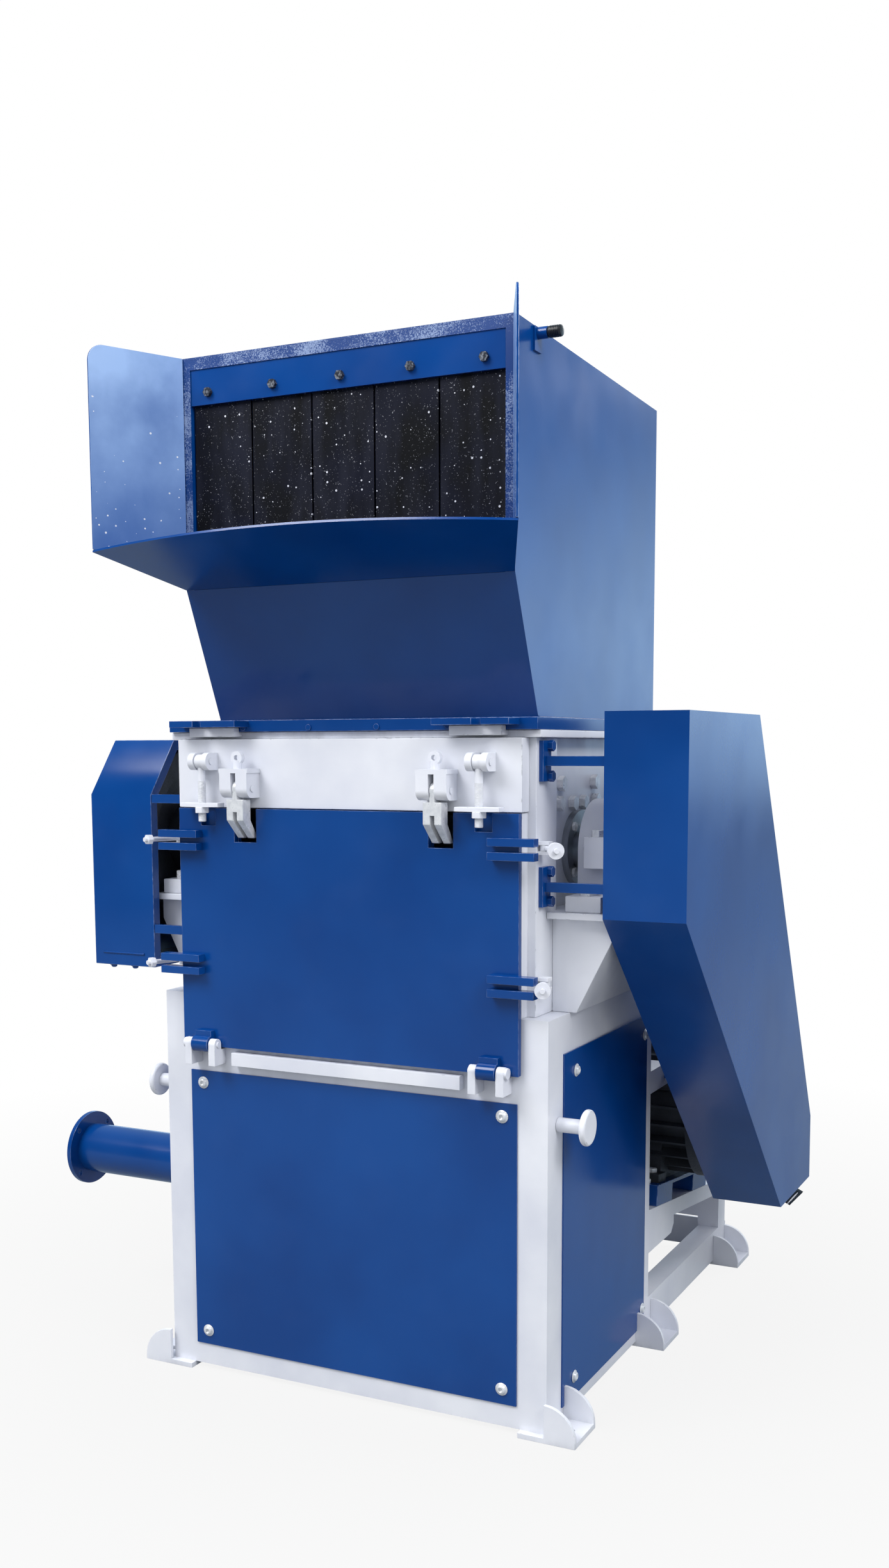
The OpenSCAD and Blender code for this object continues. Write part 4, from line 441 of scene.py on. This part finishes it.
def dust_and_sheen_enamel_paint(tree, place):
    # The same enamel with white granules of 2 to 5 mm clinging to it, thickest low down and by the mouth, under a
    # painted sheen
    height = add(tree, "ShaderNodeSeparateXYZ", {0: place}).outputs[2]
    kept = add(tree, "ShaderNodeMapRange", {"Value": height, "From Min": 1.5, "From Max": 1.85,
                                            "To Min": 0.45, "To Max": 0.04}).outputs[0]
    grains = granules(tree, place, 1, 60.0, kept)
    # A pale sky-blue film that is painted sheen of reflected light together with fine dust, lighter towards the
    # top and in cloudy patches of 100 mm
    clouds = add(tree, "ShaderNodeTexNoise", {"Vector": place, "Scale": 8.0, "Detail": 6.0}).outputs[0]
    thick = add(tree, "ShaderNodeMapRange", {"Value": height, "From Min": 1.48, "From Max": 1.9,
                                             "To Min": 0.1, "To Max": 1.6}).outputs[0]
    sheen_film = add(tree, "ShaderNodeMath", {0: thick, 1: clouds}, operation="MULTIPLY").outputs[0]
    sheened = add(tree, "ShaderNodeMix", {0: sheen_film, 6: linear("#0a4c9a"), 7: linear("#9fc0f0")}, data_type="RGBA")
    tone = add(tree, "ShaderNodeMix", {0: grains, 6: sheened.outputs[2], 7: linear("#e4e8f2")}, data_type="RGBA")
    bump = add(tree, "ShaderNodeBump", {"Height": grains, "Strength": 0.4, "Distance": 0.001}).outputs[0]
    rough = add(tree, "ShaderNodeMapRange", {"Value": grains, "To Min": 0.22, "To Max": 0.6}).outputs[0]
    return add(tree, "ShaderNodeBsdfPrincipled", {"Base Color": tone.outputs[2], "Roughness": rough,
                                                  "Normal": bump})


scuffed_enamel = coated("scuffed_enamel", scuffed_enamel_paint)
dust_and_sheen_enamel = coated("dust_and_sheen_enamel", dust_and_sheen_enamel_paint)
shell = dressed("hopper_shell", 0.0012, blue_enamel)
shell.data.materials.append(scuffed_enamel)
mouth_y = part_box("hopper_shell")[0][1]
mouth_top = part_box("hopper_shell")[1][2]
for face in shell.data.polygons:
    front = face.center[1] < mouth_y + 0.012 and face.center[2] > mouth_top - 0.4
    if front and face.normal[1] < -0.4:
        face.material_index = 1
dressed("hopper_flange", 0.0015, blue_enamel)
dressed("feed_tray", 0.001, blue_enamel)
wings = dressed("feed_wings", 0.001, blue_enamel)
# The inner faces of the wings take the enamel with granules and the painted sheen
wings.data.materials.append(dust_and_sheen_enamel)
for face in wings.data.polygons:
    if face.center[0] * face.normal[0] < 0.0 and abs(face.normal[0]) > 0.5:
        face.material_index = 1
dressed("hopper_hinge", 0.0015, white_enamel)

# Weld beads: fillets laid by hand with a ripple every 4 mm, where the shell stands on its flange.


def bead(mesh, start, end, size):
    """A rippled fillet of weld between two points."""
    start, end = Vector(start), Vector(end)
    along = (end - start).normalized()
    ripple = 0.004
    steps = max(4, int((end - start).length / ripple))
    across = Matrix.Translation(start) @ along.to_track_quat("Z", "Y").to_matrix().to_4x4()
    ring = bmesh.ops.create_circle(mesh, cap_ends=True, segments=8, radius=size, matrix=across)
    front = {face for vert in ring["verts"] for face in vert.link_faces}
    dice = random.Random(7)
    for step in range(steps):
        made = bmesh.ops.extrude_face_region(mesh, geom=list(front))
        verts = [g for g in made["geom"] if isinstance(g, bmesh.types.BMVert)]
        if step:
            bmesh.ops.delete(mesh, geom=list(front), context="FACES_ONLY")
        front = {g for g in made["geom"] if isinstance(g, bmesh.types.BMFace)}
        middle = start + along * (end - start).length * (step + 1) / steps
        wide = size * (0.8 + 0.3 * (step % 2) + dice.uniform(-0.08, 0.08))
        for vert in verts:
            out = vert.co - along * (vert.co - start).dot(along) - start
            vert.co = middle + out.normalized() * wide
    for face in mesh.faces:
        face.smooth = True


shell_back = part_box("hopper_shell")[1][1]
foot_z = 1.2663
front_foot = -0.448
side_x = 0.334
hopper_welds = bmesh.new()
bead(hopper_welds, (-side_x, front_foot, foot_z), (side_x, front_foot, foot_z), 0.004)
for sx in (-1.0, 1.0):
    bead(hopper_welds, (sx * side_x, front_foot, foot_z), (sx * side_x, shell_back, foot_z), 0.0035)
bmesh.ops.recalc_face_normals(hopper_welds, faces=hopper_welds.faces)
placed("hopper_welds", hopper_welds, blue_enamel, "hopper", "blue_enamel")

# Curtain: five black rubber strips behind a blue bar with five bolts. Each strip is 4 mm sheet that has
# taken a curl, and its left edge stands a little in front of its neighbour.
retainer = dressed("curtain_retainer", 0.0008, blue_enamel)
sheet = 0.0038
clear = 0.0003
trimmed = 0.985
for number in range(1, 6):
    node = "curtain_strip_%d" % number
    low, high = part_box(node)
    width = high[0] - low[0]
    height = high[2] - low[2]
    strip = bmesh.new()
    bmesh.ops.create_grid(strip, x_segments=14, y_segments=30, size=0.5)
    for vert in strip.verts:
        across, down = vert.co[0], 0.5 - vert.co[1]
        curl = math.sin(math.pi * across) * (0.3 + down) / 1.3
        sway = math.sin(3.1 * down + 1.7 * number) * down
        relief = (high[1] - low[1] - sheet - clear) * (0.5 + (curl + sway) / 4)
        vert.co = Vector((low[0] + width * (0.5 + across * trimmed), low[1] + clear / 3 + relief,
                          high[2] - height * down))
    strip.normal_update()
    bmesh.ops.solidify(strip, geom=strip.faces, thickness=sheet)
    bmesh.ops.recalc_face_normals(strip, faces=strip.faces)
    for face in strip.faces:
        face.smooth = True
    for line in strip.edges:
        line.smooth = line.calc_face_angle(0.0) < math.radians(40.0)
    placed(node + "_sheet", strip, speckled_rubber, node, "black_rubber", node)


def oiled_bolt_paint(tree, place):
    # Black-oxide bolt steel, dull with rubbed grey spots
    spots = add(tree, "ShaderNodeTexNoise", {"Vector": place, "Scale": 260.0, "Detail": 4.0}).outputs[0]
    share = add(tree, "ShaderNodeMapRange", {"Value": spots, "From Min": 0.45, "From Max": 0.7}).outputs[0]
    tone = add(tree, "ShaderNodeMix", {0: share, 6: linear("#2b2f38"), 7: linear("#8b9099")}, data_type="RGBA")
    rough = add(tree, "ShaderNodeMapRange", {"Value": spots, "To Min": 0.35, "To Max": 0.6}).outputs[0]
    return add(tree, "ShaderNodeBsdfPrincipled", {"Base Color": tone.outputs[2], "Roughness": rough,
                                                  "Metallic": 0.7})


oiled_bolt = coated("oiled_bolt", oiled_bolt_paint)
retainer.data.materials.append(oiled_bolt)
bar_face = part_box("curtain_retainer")[0][1] + 0.0068
for face in retainer.data.polygons:
    if face.center[1] < bar_face:
        face.material_index = 1

# Latch: a spring plunger with a ribbed black moulded knob, in a sleeve welded on the hopper's side.


def moulded_plastic_paint(tree, place):
    # Glass-filled nylon, moulded: black, softly shining, with a fine grain
    grain = add(tree, "ShaderNodeTexNoise", {"Vector": place, "Scale": 700.0, "Detail": 3.0}).outputs[0]
    tone = add(tree, "ShaderNodeMix", {0: grain, 6: linear("#101114"), 7: linear("#24262a")}, data_type="RGBA")
    rough = add(tree, "ShaderNodeMapRange", {"Value": grain, "To Min": 0.3, "To Max": 0.5}).outputs[0]
    bump = add(tree, "ShaderNodeBump", {"Height": grain, "Strength": 0.2, "Distance": 0.0004}).outputs[0]
    return add(tree, "ShaderNodeBsdfPrincipled", {"Base Color": tone.outputs[2], "Roughness": rough,
                                                  "Normal": bump})


moulded_plastic = coated("moulded_plastic", moulded_plastic_paint)
knob_low, knob_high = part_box("latch_knob")
knob = bmesh.new()
axis_point = Vector((knob_low[0], (knob_low[1] + knob_high[1]) / 2, (knob_low[2] + knob_high[2]) / 2))
grip = (knob_high[1] - knob_low[1]) / 2
moulded = 0.026
start = knob_high[0] - moulded - knob_low[0]
profile = [(0.0, 0.0005), (0.0038, 0.0005), (0.0038, start), (grip * 0.8, start), (grip * 0.95, start + 0.002)]
for rib in range(5):
    at = start + 0.005 + 0.003 * rib
    profile += [(grip, at), (grip, at + 0.0014), (grip * 0.92, at + 0.0018), (grip * 0.92, at + 0.0026)]
profile += [(grip, start + 0.021), (grip * 0.9, start + 0.0245), (grip * 0.6, start + 0.0258),
            (0.0, start + moulded)]
turned(knob, profile, Vector((1.0, 0.0, 0.0)), axis_point, 32)
for face in knob.faces:
    face.smooth = True
for line in knob.edges:
    line.smooth = line.calc_face_angle(0.0) < math.radians(40.0)
placed("latch_knob_grip", knob, moulded_plastic, "latch_knob", "black_plastic", "latch_knob")

# Guards: folded and welded boxes of 3 mm sheet over the belts and the flywheel, on bolted arms.
for node in ("belt_guard", "flywheel_guard", "guard_arms"):
    dressed(node, 0.002, blue_enamel)

# Lip of the flywheel guard: two painted screws up into its bottom edge, and a weld line above its front lip.
fly_low, fly_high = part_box("flywheel_guard")
fly_wide = fly_high[0] - fly_low[0]
lip_screws = bmesh.new()
for share in (0.25, 0.61):
    socket_screw(lip_screws, Vector((fly_low[0] + fly_wide * share, fly_low[1] + 0.012, fly_low[2])),
                 Vector((0.0, 0.0, -1.0)), 0.006)
for face in lip_screws.faces:
    face.smooth = True
placed("guard_lip_screws", lip_screws, blue_enamel, "machine", "blue_enamel")
lip_weld = bmesh.new()
weld_y = fly_low[1] - 0.0003
weld_z = fly_low[2] + 0.025
bead(lip_weld, (fly_low[0] + fly_wide * 0.15, weld_y, weld_z),
     (fly_low[0] + fly_wide * 0.83, weld_y, weld_z), 0.0022)
bmesh.ops.recalc_face_normals(lip_weld, faces=lip_weld.faces)
placed("guard_lip_weld", lip_weld, blue_enamel, "machine", "blue_enamel")

# Drain flap under the belt guard: a scrap of black rubber sheet, bolted along one edge and curled down.
guard_low, guard_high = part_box("belt_guard")
flap = bmesh.new()
bmesh.ops.create_grid(flap, x_segments=8, y_segments=8, size=0.5)
for vert in flap.verts:
    across, along = vert.co[0] + 0.5, vert.co[1] + 0.5
    vert.co = Vector((guard_high[0] - 0.075 + 0.07 * across, guard_low[1] + 0.80 + 0.12 * along,
                      guard_low[2] - 0.0008 - 0.022 * across ** 1.6 - 0.004 * along))
flap.normal_update()
bmesh.ops.solidify(flap, geom=flap.faces, thickness=0.003)
bmesh.ops.recalc_face_normals(flap, faces=flap.faces)
for face in flap.faces:
    face.smooth = True
placed("guard_drain_flap", flap, speckled_rubber, "machine", "black_rubber")

# Studio: a pale floor that goes over into a white backdrop, three soft lamps, surroundings that are white
# behind the machine and dimmer in front of it, and a camera at the photograph's angle.
ground = bmesh.new()
bmesh.ops.create_grid(ground, x_segments=1, y_segments=1, size=30.0)
floor = bpy.data.objects.new("floor", bpy.data.meshes.new("floor"))
ground.to_mesh(floor.data)
ground.free()
bpy.context.scene.collection.objects.link(floor)


def floor_paint(tree, place):
    reach = add(tree, "ShaderNodeVectorMath", {0: place}, operation="LENGTH").outputs["Value"]
    away = add(tree, "ShaderNodeMapRange", {"Value": reach, "From Min": 0.7, "From Max": 2.6,
                                            "To Min": 0.88, "To Max": 1.0}).outputs[0]
    rays = add(tree, "ShaderNodeLightPath")
    mirrored = add(tree, "ShaderNodeMath", {0: rays.outputs["Is Glossy Ray"],
                                            1: rays.outputs["Is Transmission Ray"]},
                   operation="MAXIMUM").outputs[0]
    dimmed = add(tree, "ShaderNodeMath", {0: mirrored, 1: 0.28}, operation="MULTIPLY").outputs[0]
    seen = add(tree, "ShaderNodeMath", {0: rays.outputs["Is Camera Ray"], 1: dimmed},
               operation="MAXIMUM").outputs[0]
    share = add(tree, "ShaderNodeMath", {0: away, 1: seen}, operation="MULTIPLY").outputs[0]
    matt = add(tree, "ShaderNodeBsdfDiffuse", {"Color": linear("#8e8e8c")}).outputs[0]
    tint = add(tree, "ShaderNodeMix", {0: mirrored, 6: (1.0, 1.0, 1.0, 1.0), 7: (0.4, 0.7, 1.0, 1.0)},
               data_type="RGBA")
    glow = add(tree, "ShaderNodeEmission", {"Color": tint.outputs[2], "Strength": 1.0}).outputs[0]
    return add(tree, "ShaderNodeMixShader", {0: share, 1: matt, 2: glow})


floor.data.materials.append(coated("floor_paint", floor_paint))

world = bpy.data.worlds.new("studio")
bpy.context.scene.world = world
world.use_nodes = True
sky = world.node_tree
sky.nodes.clear()
rays = add(sky, "ShaderNodeLightPath")
heading = add(sky, "ShaderNodeSeparateXYZ", {0: add(sky, "ShaderNodeTexCoord").outputs["Generated"]})
front_dim = add(sky, "ShaderNodeMapRange", {"Value": heading.outputs[1], "From Min": -0.6, "From Max": 0.3,
                                            "To Min": 0.1, "To Max": 1.0}).outputs[0]
band = add(sky, "ShaderNodeMapRange", {"Value": heading.outputs[2], "From Min": -0.08, "From Max": 0.04,
                                       "To Min": 0.25, "To Max": 2.1}).outputs[0]
ceiling = add(sky, "ShaderNodeMapRange", {"Value": heading.outputs[2], "From Min": 0.08, "From Max": 0.2,
                                          "To Min": 1.0, "To Max": 0.3}).outputs[0]
high_up = add(sky, "ShaderNodeMath", {0: band, 1: ceiling}, operation="MULTIPLY").outputs[0]
glow = add(sky, "ShaderNodeMath", {0: front_dim, 1: high_up}, operation="MULTIPLY").outputs[0]
fill = add(sky, "ShaderNodeBackground", {"Color": (0.93, 0.96, 1.0, 1.0), "Strength": 0.78}).outputs[0]
mirrored = add(sky, "ShaderNodeBackground", {"Color": (0.55, 0.78, 1.0, 1.0), "Strength": glow}).outputs[0]
white = add(sky, "ShaderNodeBackground", {"Color": (1.0, 1.0, 1.0, 1.0), "Strength": 1.0}).outputs[0]
gloss = add(sky, "ShaderNodeMath", {0: rays.outputs["Is Glossy Ray"], 1: rays.outputs["Is Transmission Ray"]},
            operation="MAXIMUM").outputs[0]
lit = add(sky, "ShaderNodeMixShader", {0: gloss, 1: fill, 2: mirrored}).outputs[0]
shown = add(sky, "ShaderNodeMixShader", {0: rays.outputs["Is Camera Ray"], 1: lit, 2: white}).outputs[0]
add(sky, "ShaderNodeOutputWorld", {"Surface": shown})

for name, place, size, watts in (("key", (-2.2, -3.8, 5.4), 3.0, 285.0), ("side", (3.4, -1.6, 3.7), 1.8, 95.0),
                                 ("back", (0.5, 5.0, 4.5), 3.0, 90.0)):
    lamp = bpy.data.lights.new(name, "AREA")
    lamp.size = size
    lamp.energy = watts
    holder = bpy.data.objects.new(name, lamp)
    holder.location = place
    holder.rotation_euler = (Vector((0.0, 0.0, 1.0)) - Vector(place)).to_track_quat("-Z", "Y").to_euler()
    bpy.context.scene.collection.objects.link(holder)

yaw = math.radians(26.39)
pitch = math.radians(6.77)
forward = Vector((-math.sin(yaw) * math.cos(pitch), math.cos(yaw) * math.cos(pitch), -math.sin(pitch)))
right = Vector((math.cos(yaw), math.sin(yaw), 0.0))
turn = Matrix((right, right.cross(forward), -forward)).transposed().to_4x4()
lens = bpy.data.cameras.new("camera")
lens.sensor_fit = "VERTICAL"
frame_height = 2448.0
focal_pixels = 2370.0
centre_row = 1450.0
lens.sensor_height = 36.0
lens.lens = focal_pixels * lens.sensor_height / frame_height
lens.shift_y = (centre_row - frame_height / 2) / frame_height
lens.clip_end = 100.0
camera = bpy.data.objects.new("camera", lens)
camera.matrix_world = Matrix.Translation((1.3769, -2.9220, 1.2136)) @ turn @ Matrix.Rotation(
    math.radians(-0.16), 4, "Z")
bpy.context.scene.collection.objects.link(camera)
bpy.context.scene.camera = camera
bpy.context.scene.view_settings.view_transform = "Standard"
